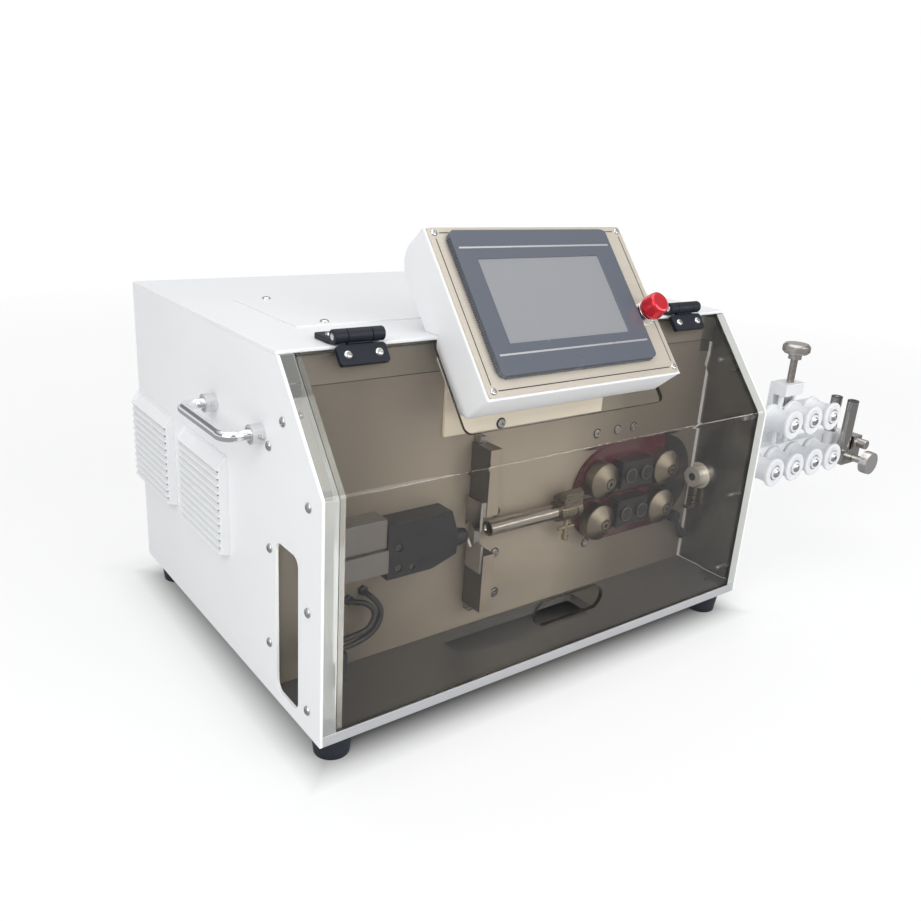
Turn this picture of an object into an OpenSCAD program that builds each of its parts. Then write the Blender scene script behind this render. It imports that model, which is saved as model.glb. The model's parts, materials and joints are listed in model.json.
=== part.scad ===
// Bench-top wire cutting and stripping machine, all sizes in millimetres, +Z up.
// Modules are drawn in the cabinet's own frame: X to the right from the left panel's outer face,
// Y to the rear from the front plane, Z up from the underside of the base plate.
// placed() moves that frame so that the origin lies on the bench, under the middle of the machine's length.

/* [Cabinet] */
// overall width over the two side panels
cabinet_w = 587; // [570:1:620]
// overall depth from the front plane to the rear panel
cabinet_d = 452; // [440:1:500]
// height of the sheet metal body without its feet
cabinet_h = 340; // [336:1:350]
// thickness of the painted sheet
sheet_t = 3; // [2:0.5:3.5]
// thickness of the base plate
base_t = 11; // [9:0.5:12]
// depth of the sloping upper front
slope_d = 83; // [78:1:86]
// height at which the slope begins
slope_z = 236; // [228:1:240]
// diameter of a rubber foot at its top
foot_d = 40; // [34:1:44]
// height of a rubber foot
foot_h = 28; // [22:1:34]
// distance of a foot's axis from the cabinet's edges
foot_inset = 27; // [25:1:40]
// length of one louvre vent
vent_len = 112; // [100:1:112]
// height of one louvre vent
vent_h = 105; // [96:1:114]
// how far a louvre vent stands out from the panel
vent_out = 11; // [8:0.5:14]
// diameter of the carrying handle's bar
handle_d = 10; // [8:0.5:12]
// distance between the two legs of a handle
handle_span = 106; // [96:1:112]
// how far a handle stands out from the panel
handle_out = 40; // [34:1:46]
// width of the outlet opening in the left panel
outlet_open_w = 44; // [38:1:46]
// height of the outlet opening in the left panel
outlet_open_h = 155; // [148:1:160]

/* [Safety cover] */
// thickness of the tinted cover sheet
cover_t = 5; // [4:0.5:6]
// outer radius of the cover's bend
bend_r = 10; // [8:1:14]
// distance of the cover's edge from the cabinet's outer face
strip_w = 16; // [14:0.5:20]
// depth of the clear end strips
strip_depth = 40; // [36:1:44]
// width of the notch that clears the console
notch_w = 267; // [264:1:274]
// length of the finger slot
finger_len = 97; // [80:1:110]
// height of the finger slot
finger_h = 28; // [24:1:32]
// width of one cover hinge
hinge_w = 50; // [46:1:56]
// outer diameter of the hinge barrel
barrel_d = 13; // [11:0.5:14]
// diameter of the hinge pin
hinge_pin_d = 6; // [5:0.5:7]

/* [Console] */
// width of the steel face plate
face_w = 252; // [248:1:254]
// height of the steel face plate
face_h = 174; // [170:1:176]
// thickness of the steel face plate
face_t = 2; // [1.5:0.5:3]
// depth of the console housing behind the face plate
console_depth = 54; // [50:1:56]
// lean of the face from the vertical in degrees
console_lean = 39.5; // [37:0.5:42]
// width of the touch panel's bezel
bezel_w = 204; // [198:1:206]
// height of the touch panel's bezel
bezel_h = 150; // [146:1:154]
// how far the bezel stands out from the face plate
bezel_out = 7; // [5:0.5:9]
// width of the visible screen
screen_w = 154; // [148:1:160]
// height of the visible screen
screen_h = 86; // [82:1:92]
// diameter of the stop button's head
stop_d = 27; // [24:0.5:28]
// travel of the stop button
stop_travel = 4; // [3:0.5:5]

/* [Feed unit] */
// distance from the front plane to the wire line
wire_y = 80; // [79:0.5:81]
// height of the wire line above the underside of the base plate
wire_z = 130; // [128:0.5:132]
// diameter of a feed wheel
wheel_d = 44; // [42:0.5:44]
// distance between the two wheels of one row
wheel_pitch = 105; // [102:1:108]
// distance between the upper and the lower row of wheels
wheel_rise = 51; // [50.6:0.2:52]
// diameter of a wheel's shaft
shaft_d = 12; // [10:0.5:14]
// end radius of the red feed plates
plate_r = 55; // [52:1:58]
// outer diameter of the guide tube
tube_d = 17; // [15:0.5:19]
// length of the guide tube in front of its holder
tube_len = 97; // [90:1:100]

/* [Cutter] */
// width of the cutter's guide rail
rail_w = 8; // [7:0.5:9]
// depth of a blade holder in front of the rail
holder_depth = 22; // [20:0.5:24]
// thickness of a blade
blade_t = 3; // [2:0.5:3.5]
// diameter of the cutter's lead screw
lead_d = 14; // [12:0.5:16]

/* [Straightener] */
// flange diameter of a straightener roller
roller_d = 40; // [38:0.5:40]
// waist diameter of a straightener roller
waist_d = 31; // [29:0.5:32]
// length of a straightener roller
roller_len = 40; // [36:1:40]
// distance between neighbouring rollers of one row
roller_pitch = 47; // [46:0.5:50]
// diameter of a roller's axle
axle_d = 12; // [10:0.5:13]
// how far the upper row stands above its closed place
roller_lift = 32; // [28:1:32]
// diameter of the two wire guide posts
post_d = 16; // [14:0.5:17]
// diameter of the knob on the height screw
height_knob_d = 37; // [32:1:40]
// diameter of the knob on the gap screw
gap_knob_d = 33; // [26:1:36]

/* [Hidden] */
$fn = 64;
run = 0.05;
gap = 0.4;
eps = 0.5;
slope_a = atan2(cabinet_h - slope_z, slope_d);
slope_len = norm([slope_d, cabinet_h - slope_z]);
roof_z = cabinet_h - sheet_t;
inner_x1 = cabinet_w - sheet_t;

main_y = 93;
main_t = 10;
main_back = main_y + main_t;
main_top = 303;

console_x = cabinet_w / 2 - 2.1;
console_y = slope_d - 25.9;
console_z = cabinet_h + 28.5;
console_rim = 2;
console_wall = 2;
console_round = 26;
console_cham = 14;
bezel_x = -6.8;
bezel_v = 4.6;
screen_x = -8.8;
screen_v = 4.4;
stop_x = 110.6;
stop_v = -18;
notch_from_bend = slope_len * 0.26;

hinge_inset = 78;
axis_y = slope_d;
axis_z = cabinet_h + barrel_d / 2 + 1.5;
leaf_t = 5;
leaf_len = 19;
base_leaf_len = 28;
leaf_inset = 2;

// the units of the wire line are set from the right panel, where the wire comes in
feed_x = cabinet_w - 131.5;
row_low = wire_z - wheel_rise / 2;
row_high = wire_z + wheel_rise / 2;
wheel_front = 64;
wheel_cone = 8;
wheel_rim = 15;
wheel_back = wheel_front + wheel_cone + wheel_rim;
feed_plate_y = wheel_back + gap;
feed_plate_x = feed_x + 12.5;
feed_plate_half = 43;
lift_down = 6.5;
lift_up = 4;
shaft_end = 136;
tie_w = 36;
tie_h = 20;

cut_x = cabinet_w - 360;
rail_y = 82.5;
cut_screw_x = cut_x + 13;
cut_screw_y = 135;
blade_close = 12;
blade_open = 6;
blade_w = 26;
blade_x = cut_x - rail_w / 2 - gap - 3;

row_x = cabinet_w + 141;
low_z = wire_z - waist_d / 2 - 1;
high_z = wire_z + waist_d / 2 + 1 + roller_lift;
roller_front = wire_y - roller_len / 2;
bar_front = wire_y + roller_len / 2 + eps;
bar_t = 15.5;
mid_y = bar_front + 7.5;
bar_end = row_x + 3 * roller_pitch + 71;
arm_z = 205;
arm_h = 17;
arm_half = 21;
arm_back = 9;
pin_off = 14;
pin_d = 8;
mid_x = row_x + 1.5 * roller_pitch;
flange_t = 8;
flange_low = wire_z - 52;
flange_top = wire_z + 28;
flange_deep = 40;
bar_low = wire_z - 34;
top_bar_h = 22;
low_bar_top = wire_z + 4;
post_x = row_x + 3 * roller_pitch + 38;
cross_x = post_x + 23;
cross_z = wire_z - 2.5;
gap_x = post_x + 18.5;
gap_drop = 26;
gap_z = wire_z - gap_drop;
guide_drop = 31;
post_len = 77;

// moves the cabinet frame to the bench frame
module placed() {
    translate([(handle_out - bar_end) / 2, -cabinet_d / 2, foot_h]) children();
}

// extrudes a Y-Z outline along X
module along_x(x, len) {
    translate([x, 0, 0]) rotate([90, 0, 90]) linear_extrude(len) children();
}

// round bar along X, along Y or along Z from its first end
module bar_x(x, y, z, len, d) {
    translate([x, y, z]) rotate([0, 90, 0]) cylinder(h = len, d = d);
}

module bar_y(x, y, z, len, d) {
    translate([x, y, z]) rotate([-90, 0, 0]) cylinder(h = len, d = d);
}

module bar_z(x, y, z, len, d) {
    translate([x, y, z]) cylinder(h = len, d = d);
}

module box(x0, x1, y0, y1, z0, z1) {
    translate([x0, y0, z0]) cube([x1 - x0, y1 - y0, z1 - z0]);
}

// rectangle with round corners, first corner at the origin
module round_rect(w, h, r) {
    translate([r, 0]) square([w - 2 * r, h]);
    translate([0, r]) square([w, h - 2 * r]);
    for (x = [r, w - r], y = [r, h - r]) translate([x, y]) circle(r);
}

// the places of the left and the right copy of a side piece
module both_sides() {
    children();
    translate([cabinet_w, 0, 0]) mirror([1, 0, 0]) children();
}

// line of the bent front at a given depth behind the outer face, from height low to run top_u
function bend_mid() = slope_z - bend_r * tan((90 - slope_a) / 2);
function front_line(inset, low, top_u) = concat(
    [[inset, low]],
    [for (i = [0:6]) let (t = 180 - i * (90 - slope_a) / 6)
        [bend_r + (bend_r - inset) * cos(t), bend_mid() + (bend_r - inset) * sin(t)]],
    [[top_u * cos(slope_a) + inset * sin(slope_a),
        slope_z + top_u * sin(slope_a) - inset * cos(slope_a)]]);
function flipped(list) = [for (i = [len(list) - 1:-1:0]) list[i]];

// frame of the slope: X along the cabinet, Y up the slope from the bend, Z out of the slope
module on_slope(x) {
    translate([x, 0, slope_z]) rotate([slope_a, 0, 0]) children();
}

// frame of the console face: origin at the face plate's centre, Y up the face, Z out of it
module on_face() {
    translate([console_x, console_y, console_z]) rotate([90 - console_lean, 0, 0]) children();
}

waste_len = 196;
waste_w = 46;
waste_y = 42;

module base_plate() {
    color("lightgray") difference() {
        box(sheet_t, inner_x1, 0, cabinet_d, 0, base_t);
        translate([cut_x - 41, waste_y, -eps])
            linear_extrude(base_t + 2 * eps) round_rect(waste_len, waste_w, 6);
        for (x = [foot_inset, cabinet_w - foot_inset], y = [foot_inset, cabinet_d - foot_inset])
            bar_z(x, y, -eps, base_t + 2 * eps, 6.2);
    }
}

// a tapered rubber foot with its screw sunk from below
module feet() {
    color("black")
    for (x = [foot_inset, cabinet_w - foot_inset], y = [foot_inset, cabinet_d - foot_inset])
        translate([x, y, -foot_h]) {
            difference() {
                union() {
                    cylinder(h = foot_h - 3, d1 = foot_d - 6, d2 = foot_d);
                    translate([0, 0, foot_h - 3]) cylinder(h = 3, d = foot_d);
                }
                translate([0, 0, -eps]) cylinder(h = foot_h / 2 + eps, d = 15);
            }
            translate([0, 0, foot_h / 2]) cylinder(h = foot_h / 2 + base_t - 1, d = 6);
        }
}

module panel_outline() {
    polygon([[0, 0], [cabinet_d, 0], [cabinet_d, roof_z],
        [slope_d - sheet_t / tan(slope_a), roof_z], [0, slope_z]]);
}

// Y of the front ends of the two louvre vents and height of their lower edge
vent_front = cabinet_d - 262;
vent_rear = cabinet_d - 115;
vent_z = 108;

module vent_windows() {
    for (y = [vent_front, vent_rear])
        translate([y + 8, vent_z + 8]) square([vent_len - 16, vent_h - 16]);
}

module left_side_panel() {
    color("white") along_x(0, sheet_t) difference() {
        panel_outline();
        vent_windows();
        translate([42, base_t + 2]) round_rect(outlet_open_w, outlet_open_h, 10);
    }
}

module right_side_panel() {
    color("white") along_x(inner_x1, sheet_t) difference() {
        panel_outline();
        vent_windows();
        translate([wire_y, wire_z]) circle(d = 18.2);
    }
}

hatch_inset = 59;
hatch_y = 161;
hatch_len = 149;
hatch_lap = 15.5;
hatch_t = 1.5;

// roof with a front flange that meets the main plate
module top_panel() {
    color("white") {
        difference() {
            box(0, cabinet_w, slope_d, cabinet_d, roof_z, cabinet_h);
            box(hatch_inset + hatch_lap, cabinet_w - hatch_inset - hatch_lap, hatch_y + hatch_lap,
                hatch_y + hatch_len - hatch_lap, roof_z - eps, cabinet_h + eps);
        }
        box(sheet_t, inner_x1, main_y, main_y + sheet_t, main_top, roof_z);
    }
}

module top_hatch() {
    color("white") translate([hatch_inset, hatch_y, cabinet_h])
        linear_extrude(hatch_t) round_rect(cabinet_w - 2 * hatch_inset, hatch_len, 3);
}

inlet_x = cabinet_w - 117;
inlet_z = 46;
inlet_w = 50;
inlet_h = 66;

module rear_panel() {
    color("white") difference() {
        box(sheet_t, inner_x1, cabinet_d - sheet_t, cabinet_d, base_t, roof_z);
        box(inlet_x, inlet_x + inlet_w, cabinet_d - sheet_t - eps, cabinet_d + eps,
            inlet_z, inlet_z + inlet_h);
        for (i = [0:7]) translate([110 + 16 * i, cabinet_d + eps, 180])
            rotate([90, 0, 0]) linear_extrude(sheet_t + 2 * eps) round_rect(6, 90, 3);
    }
}

rocker_w = 19;
rocker_h = 13;
rocker_tilt = 8;
rocker_z = inlet_z + inlet_h - 15;

// mains inlet with three pins and a pocket for the rocker switch
module power_inlet() {
    color("black") {
        difference() {
            union() {
                box(inlet_x, inlet_x + inlet_w, cabinet_d - 28, cabinet_d, inlet_z, inlet_z + inlet_h);
                translate([inlet_x - 4, cabinet_d + 3, inlet_z - 4]) rotate([90, 0, 0])
                    linear_extrude(3) round_rect(inlet_w + 8, inlet_h + 8, 5);
            }
            translate([inlet_x + 11, cabinet_d + 4, inlet_z + 6]) rotate([90, 0, 0])
                linear_extrude(22) round_rect(28, 20, 4);
            translate([inlet_x + inlet_w / 2 - rocker_w / 2 - gap, cabinet_d - 12,
                rocker_z - rocker_h / 2 - 1.2])
                cube([rocker_w + 2 * gap, 20, rocker_h + 2.4]);
            bar_x(inlet_x + inlet_w / 2 - rocker_w / 2 - 4, cabinet_d - 3, rocker_z,
                rocker_w + 8, 3 + 2 * run);
        }
        for (x = [-7, 0, 7])
            translate([inlet_x + 25 + x - 1, cabinet_d - 19, inlet_z + (x == 0 ? 17 : 12)])
                cube([2, 16, 4]);
    }
}

module power_switch() {
    color("dimgray") translate([inlet_x + inlet_w / 2, cabinet_d - 3, rocker_z])
        rotate([rocker_tilt, 0, 0]) {
            rotate([0, 90, 0]) translate([0, 0, -rocker_w / 2 - 3.4]) cylinder(h = rocker_w + 6.8, d = 3);
            translate([-rocker_w / 2, -5, -rocker_h / 2]) cube([rocker_w, 11, rocker_h]);
        }
}

slat_count = 12;

// one louvre vent on the left panel: a window frame, end walls and sloping slats
module louvre(y0) {
    pitch = (vent_h - 8) / slat_count;
    translate([0, y0, vent_z]) {
        translate([-2, 0, 0]) difference() {
            cube([2, vent_len, vent_h]);
            translate([-eps, 8, 8]) cube([2 + 2 * eps, vent_len - 16, vent_h - 16]);
        }
        for (y = [0, vent_len - 3])
            translate([0, y + 3, 0]) rotate([90, 0, 0]) linear_extrude(3)
                polygon([[-2, 0], [-2, vent_h], [-vent_out + 2, vent_h - 9], [-vent_out + 2, 3]]);
        for (i = [0:slat_count - 1])
            translate([0, vent_len - 1, 2 + pitch * i]) rotate([90, 0, 0]) linear_extrude(vent_len - 2)
                polygon([[-2, pitch + 2], [-vent_out, 2], [-vent_out, 0.4], [-vent_out + 2.2, 0.4],
                    [-2, pitch - 0.6]]);
    }
}

module louvre_vents() {
    color("white") both_sides() {
        louvre(vent_front);
        louvre(vent_rear);
    }
}

handle_y = 111;
handle_z = 261;
handle_bend = 12;
ferrule_d = 18;

// bent round bar with a ferrule at each leg
module handle() {
    translate([0, handle_y, handle_z]) {
        for (y = [0, handle_span]) {
            translate([-12, y, 0]) rotate([0, 90, 0]) cylinder(h = 12, d = ferrule_d);
            translate([-handle_out + handle_d / 2 + handle_bend, y, 0])
                rotate([0, 90, 0]) cylinder(h = handle_out - handle_d / 2 - handle_bend - 1, d = handle_d);
        }
        translate([-handle_out + handle_d / 2, handle_bend, 0])
            rotate([-90, 0, 0]) cylinder(h = handle_span - 2 * handle_bend, d = handle_d);
        translate([-handle_out + handle_d / 2 + handle_bend, handle_bend, 0]) rotate([0, 0, 180])
            rotate_extrude(angle = 90) translate([handle_bend, 0]) circle(d = handle_d);
        translate([-handle_out + handle_d / 2 + handle_bend, handle_span - handle_bend, 0])
            rotate([0, 0, 90])
            rotate_extrude(angle = 90) translate([handle_bend, 0]) circle(d = handle_d);
    }
}

module carry_handles() {
    color("silver") both_sides() handle();
}

// outline of an end strip whose front lies at a given depth
module strip_outline(inset) {
    polygon(concat(
        front_line(inset, base_t, (roof_z - slope_z + inset * cos(slope_a)) / sin(slope_a)),
        [[main_y, roof_z],
            [main_y, slope_z + main_y * tan(slope_a) - strip_depth / cos(slope_a)],
            [strip_depth, slope_z + strip_depth * tan(slope_a) - strip_depth / cos(slope_a)],
            [strip_depth, base_t]]));
}

// clear strips with a rabbet that the cover closes into
module end_strips() {
    color("azure", 0.5) both_sides() {
        along_x(sheet_t, strip_w - sheet_t) strip_outline(0);
        along_x(strip_w, 8) strip_outline(cover_t + gap);
    }
}

cover_low = base_t + 1;
cover_top_u = slope_len - 5;

module safety_cover() {
    color("saddlebrown", 0.5) difference() {
        along_x(strip_w + gap, cabinet_w - 2 * strip_w - 2 * gap) polygon(concat(
            front_line(0, cover_low, cover_top_u), flipped(front_line(cover_t, cover_low, cover_top_u))));
        on_slope(console_x - notch_w / 2) translate([0, notch_from_bend, -cover_t - 2])
            linear_extrude(cover_t + 4) {
                round_rect(notch_w, slope_len / 2, 8);
                translate([0, slope_len / 4]) square([notch_w, slope_len]);
            }
        translate([cabinet_w / 2 - finger_len / 2, cover_t + 1, 61 - finger_h / 2]) rotate([90, 0, 0])
            linear_extrude(cover_t + 2) round_rect(finger_len, finger_h, finger_h / 2 - 0.01);
    }
}

knuckle_w = hinge_w / 2;

module hinge_places() {
    for (x = [hinge_inset, cabinet_w - hinge_inset]) translate([x - hinge_w / 2, 0, 0]) children();
}

// point in the Y-Z plane from its run up the slope and its height above it
function slope_at(u, n) = [u * cos(slope_a) - n * sin(slope_a), slope_z + u * sin(slope_a) + n * cos(slope_a)];
tongue_inset = 0.4;

// leaves on the cover, each with the middle knuckle
module cover_hinge_leaves() {
    color("black") hinge_places() {
        on_slope(0) translate([0, slope_len - leaf_inset - leaf_len, 0])
            linear_extrude(leaf_t) round_rect(hinge_w, leaf_len, 3);
        along_x(hinge_w / 2 - knuckle_w / 2 + gap, knuckle_w - 2 * gap) difference() {
            union() {
                polygon([slope_at(slope_len - 14, tongue_inset), slope_at(slope_len + 4, tongue_inset),
                    slope_at(slope_len + 4, leaf_t - tongue_inset),
                    slope_at(slope_len - 14, leaf_t - tongue_inset)]);
                translate([axis_y, axis_z]) circle(d = barrel_d);
            }
            translate([axis_y, axis_z]) circle(d = hinge_pin_d + 2 * run);
        }
    }
}

// leaves on the roof, each with two knuckles and the pin
module hinge_base_leaves() {
    color("black") hinge_places() {
        translate([0, axis_y + barrel_d / 2 + 1, cabinet_h]) linear_extrude(leaf_t)
            round_rect(hinge_w, base_leaf_len, 4);
        for (x = [0, hinge_w / 2 + knuckle_w / 2]) {
            bar_x(x, axis_y, axis_z, hinge_w / 2 - knuckle_w / 2, barrel_d);
            translate([x, axis_y, cabinet_h + 1.6])
                cube([hinge_w / 2 - knuckle_w / 2, barrel_d / 2 + 8, leaf_t - 1.6]);
        }
        bar_x(0, axis_y, axis_z, hinge_w, hinge_pin_d);
    }
}

// side outline of the console behind the face plate, drawn inward by a wall
module console_outline(wall, front) {
    half = face_h / 2 + console_rim;
    polygon(concat(
        [[-half + wall, front], [-half + wall, console_cham - console_depth + wall * 0.414],
            [-half + console_cham + wall * 0.414, -console_depth + wall]],
        [for (i = [0:9]) let (t = -90 + 10 * i)
            [half - console_round + (console_round - wall) * cos(t),
                console_round - console_depth + (console_round - wall) * sin(t)]],
        [[half - wall, front]]));
}

module console_housing() {
    width = face_w + 2 * console_rim;
    color("white") difference() {
        on_face() difference() {
            along_x(-width / 2, width) console_outline(0, -face_t);
            along_x(-width / 2 + console_wall, width - 2 * console_wall)
                console_outline(console_wall, eps);
        }
        box(0, cabinet_w, slope_d, cabinet_d, 0, cabinet_h);
    }
}

module console_face_plate() {
    color("tan") on_face() difference() {
        translate([-face_w / 2, -face_h / 2, -face_t]) linear_extrude(face_t) round_rect(face_w, face_h, 3);
        translate([bezel_x - bezel_w / 2 + 6, bezel_v - bezel_h / 2 + 6, -face_t - eps])
            cube([bezel_w - 12, bezel_h - 12, face_t + 2 * eps]);
        translate([stop_x, stop_v, -face_t - eps]) cylinder(h = face_t + 2 * eps, d = 20);
    }
}

screen_t = 2;

module touch_panel_bezel() {
    color("darkslategray") on_face() difference() {
        union() {
            translate([bezel_x - bezel_w / 2, bezel_v - bezel_h / 2, 0])
                linear_extrude(bezel_out) round_rect(bezel_w, bezel_h, 6);
            translate([bezel_x - bezel_w / 2 + 7, bezel_v - bezel_h / 2 + 7, -30])
                cube([bezel_w - 14, bezel_h - 14, 30]);
        }
        translate([screen_x - screen_w / 2 - 1, screen_v - screen_h / 2 - 1, bezel_out - screen_t - 1])
            cube([screen_w + 2, screen_h + 2, screen_t + 2]);
        translate([bezel_x - bezel_w / 2 + 10, bezel_v - bezel_h / 2 + 10, -31])
            cube([bezel_w - 20, bezel_h - 20, 29]);
    }
}

module touch_screen() {
    color("gray") on_face()
        translate([screen_x - screen_w / 2 - 1, screen_v - screen_h / 2 - 1, bezel_out - screen_t - 1])
        cube([screen_w + 2, screen_h + 2, screen_t]);
}

stop_collar_h = 6;
stem_d = 12;
stop_h = 15.1;

module stop_button_collar() {
    color("silver") on_face() translate([stop_x, stop_v, 0]) difference() {
        union() {
            cylinder(h = stop_collar_h, d1 = stop_d - 1, d2 = stop_d - 4);
            translate([0, 0, -22]) cylinder(h = 22, d = 20);
        }
        translate([0, 0, -22 - eps]) cylinder(h = 40, d = stem_d + 2 * run);
    }
}

// tapered head with a flat front on its stem
module stop_button() {
    low = stop_collar_h + stop_travel + gap;
    color("red") on_face() translate([stop_x, stop_v, 0]) rotate_extrude()
        polygon([[0, -14], [stem_d / 2, -14], [stem_d / 2, low], [stop_d / 2 - 0.5, low], [stop_d / 2, low + 1.5],
            [stop_d / 2 - 1.5, low + stop_h - 3.5], [stop_d / 2 - 2.4, low + stop_h - 1],
            [stop_d / 2 - 4.5, low + stop_h], [0, low + stop_h]]);
}

// point in the Y-Z plane from its height up the console face and its distance out of it
function face_at(v, n) = [console_y + v * sin(console_lean) - n * cos(console_lean),
    console_z + v * cos(console_lean) + n * sin(console_lean)];
function face_v(y, n) = (y - console_y + n * cos(console_lean)) / sin(console_lean);
bracket_w = 220;
bracket_t = 4;
bracket_low = main_top - 67;
bracket_v = -72;

// sheet folded over the main plate's front that carries the console's back
module console_bracket() {
    back = -console_depth;
    under = back - bracket_t;
    front = main_y - bracket_t;
    color("silver") along_x(console_x - bracket_w / 2, bracket_w) polygon([
        [main_y, bracket_low], face_at(face_v(main_y, back), back), face_at(bracket_v, back),
        face_at(bracket_v, under), face_at(face_v(front, under), under), [front, bracket_low]]);
}

// slot for a round shaft that moves from low to high
module shaft_slot(x, low, high, d) {
    bar_y(x, main_y - eps, low, main_t + 2 * eps, d);
    bar_y(x, main_y - eps, high, main_t + 2 * eps, d);
    box(x - d / 2, x + d / 2, main_y - eps, main_back + eps, low, high);
}

holder_x0 = cut_x + 109;
pivot_x = holder_x0 + 16;
pivot_d = 12;
lever_x = cabinet_w - 38;
lever_z = 79;
gland_1 = [95, 90];
gland_2 = [78, 84];
arm_x0 = cut_x + rail_w / 2 + gap + 3;
arm_w = 10;
upper_arm_z = 190;
lower_arm_z = 70;

module main_plate() {
    color("silver") difference() {
        box(sheet_t, inner_x1, main_y, main_back, base_t, main_top);
        for (x = [feed_x - wheel_pitch / 2, feed_x + wheel_pitch / 2]) {
            bar_y(x, main_y - eps, row_low, main_t + 2 * eps, shaft_d + 2);
            shaft_slot(x, row_high - lift_down, row_high + lift_up, shaft_d + 2);
        }
        box(feed_x - tie_w / 2 - gap, feed_x + tie_w / 2 + gap, main_y - eps, main_back + eps,
            row_high + 10 - lift_down - 1, row_high + 10 + tie_h + lift_up + 1);
        bar_y(pivot_x, main_y - eps, wire_z, main_t + 2 * eps, pivot_d + 2 * run);
        bar_y(lever_x, main_y - eps, lever_z, main_t + 2 * eps, 8 + 2 * run);
        box(arm_x0 - gap, arm_x0 + arm_w + gap, main_y - eps, main_back + eps,
            upper_arm_z - 9 - blade_close - 1, upper_arm_z + 9 + blade_open + 1);
        box(arm_x0 - gap, arm_x0 + arm_w + gap, main_y - eps, main_back + eps,
            lower_arm_z - 9 - blade_open - 1, lower_arm_z + 9 + blade_close + 1);
    }
}

// half of a plate with two round ends, flat along its middle line, up to a given back plane
module half_plate(side, back) {
    translate([0, back, 0]) rotate([90, 0, 0]) linear_extrude(back - feed_plate_y) intersection() {
        union() {
            square([2 * feed_plate_half, 2 * plate_r], center = true);
            for (x = [-1, 1]) translate([x * feed_plate_half, 0]) circle(plate_r);
        }
        translate([-feed_plate_half - plate_r, side > 0 ? 0 : -plate_r])
            square([2 * feed_plate_half + 2 * plate_r, plate_r]);
    }
}

module lower_feed_plate() {
    color("maroon") difference() {
        translate([feed_plate_x, 0, wire_z - 1]) half_plate(-1, main_y);
        for (x = [feed_x - wheel_pitch / 2, feed_x + wheel_pitch / 2])
            bar_y(x, feed_plate_y - eps, row_low, 20, shaft_d + 2 * run);
    }
}

module upper_feed_plate() {
    color("maroon") difference() {
        translate([feed_plate_x, 0, wire_z + lift_down + 0.5]) half_plate(1, main_y - gap);
        for (x = [feed_x - wheel_pitch / 2, feed_x + wheel_pitch / 2])
            bar_y(x, feed_plate_y - eps, row_high, 20, shaft_d + 2 * run);
    }
}

block_w = 52;
block_h = 34;

// bearing block between two wheels, with its two round caps
module feed_block(z0) {
    box(feed_x - block_w / 2, feed_x + block_w / 2, 72, feed_plate_y, z0, z0 + block_h);
    for (x = [-13, 13]) bar_y(feed_x + x, 69, z0 + block_h / 2, 3.5, 17);
}

module lower_feed_block() {
    color("dimgray") feed_block(wire_z - 4 - block_h);
}

module upper_feed_block() {
    color("dimgray") feed_block(wire_z + lift_down + 4);
}

// feed wheel with a coned front, a screw recess and its shaft
module feed_wheel(x, z) {
    color("goldenrod") translate([x, wheel_front, z]) rotate([-90, 0, 0]) rotate_extrude()
        polygon([[0, 3], [4, 3], [4, 0], [7, 0], [wheel_d / 2 - 1, wheel_cone], [wheel_d / 2, wheel_cone + 1],
            [wheel_d / 2, wheel_cone + wheel_rim - 1], [wheel_d / 2 - 1, wheel_cone + wheel_rim],
            [shaft_d / 2, wheel_cone + wheel_rim], [shaft_d / 2, shaft_end - wheel_front],
            [0, shaft_end - wheel_front]]);
}

module feed_wheel_ul() {
    feed_wheel(feed_x - wheel_pitch / 2, row_high);
}

module feed_wheel_ur() {
    feed_wheel(feed_x + wheel_pitch / 2, row_high);
}

module feed_wheel_ll() {
    feed_wheel(feed_x - wheel_pitch / 2, row_low);
}

module feed_wheel_lr() {
    feed_wheel(feed_x + wheel_pitch / 2, row_low);
}

motor_w = 57;
motor_len = 60;
motor_off = 65;
drive_half = 80;
low_drive_y = 138;
high_drive_y = 140;
high_drive_h = 50;
low_drive_h = 40;
low_motor_drop = 8;

// stepping motor along Y with cut corners and a boss
module motor_y(x, y, z) {
    translate([x, y + motor_len, z]) rotate([90, 0, 0]) linear_extrude(motor_len) intersection() {
        square(motor_w, center = true);
        rotate(45) square(motor_w * 1.3, center = true);
    }
}

// gear case and motor of the lower wheels, bearing blocks and motor of the cutter's lead screw
module drive_motors() {
    color("gray") {
        lower_feed_drive();
        cutter_motor();
    }
}

module lower_feed_drive() {
    difference() {
        union() {
            box(feed_x - drive_half, feed_x + drive_half, main_back, low_drive_y,
                row_low + 18 - low_drive_h, row_low + 18);
            motor_y(feed_x + motor_off, low_drive_y, row_low - low_motor_drop);
        }
        for (x = [feed_x - wheel_pitch / 2, feed_x + wheel_pitch / 2])
            bar_y(x, main_back - eps, row_low, shaft_end - main_back + 1, shaft_d + 2 * run);
    }
}

module upper_feed_drive() {
    color("gray") difference() {
        union() {
            box(feed_x - drive_half, feed_x + drive_half, main_back + gap, high_drive_y, row_high - 18,
                row_high - 18 + high_drive_h);
            motor_y(feed_x - motor_off, high_drive_y, row_high);
            box(feed_x - tie_w / 2, feed_x + tie_w / 2, main_y - gap, main_back + 2,
                row_high + 10, row_high + 10 + tie_h);
        }
        for (x = [feed_x - wheel_pitch / 2, feed_x + wheel_pitch / 2])
            bar_y(x, main_back - eps, row_high, shaft_end - main_back + 1, shaft_d + 2 * run);
    }
}

holder_len = 31;
holder_d = 24;

module guide_tube() {
    color("silver") difference() {
        bar_x(holder_x0 - tube_len, wire_y, wire_z, tube_len, tube_d);
        bar_x(holder_x0 - tube_len - eps, wire_y, wire_z, tube_len + 2 * eps, tube_d - 6);
        translate([holder_x0 - tube_len, wire_y, wire_z]) rotate([0, 90, 0])
            translate([0, 0, -eps]) cylinder(h = 3, d1 = tube_d - 2, d2 = tube_d - 6);
    }
}

clamp_x = holder_x0 + 18;
clamp_d = 6;

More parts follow.
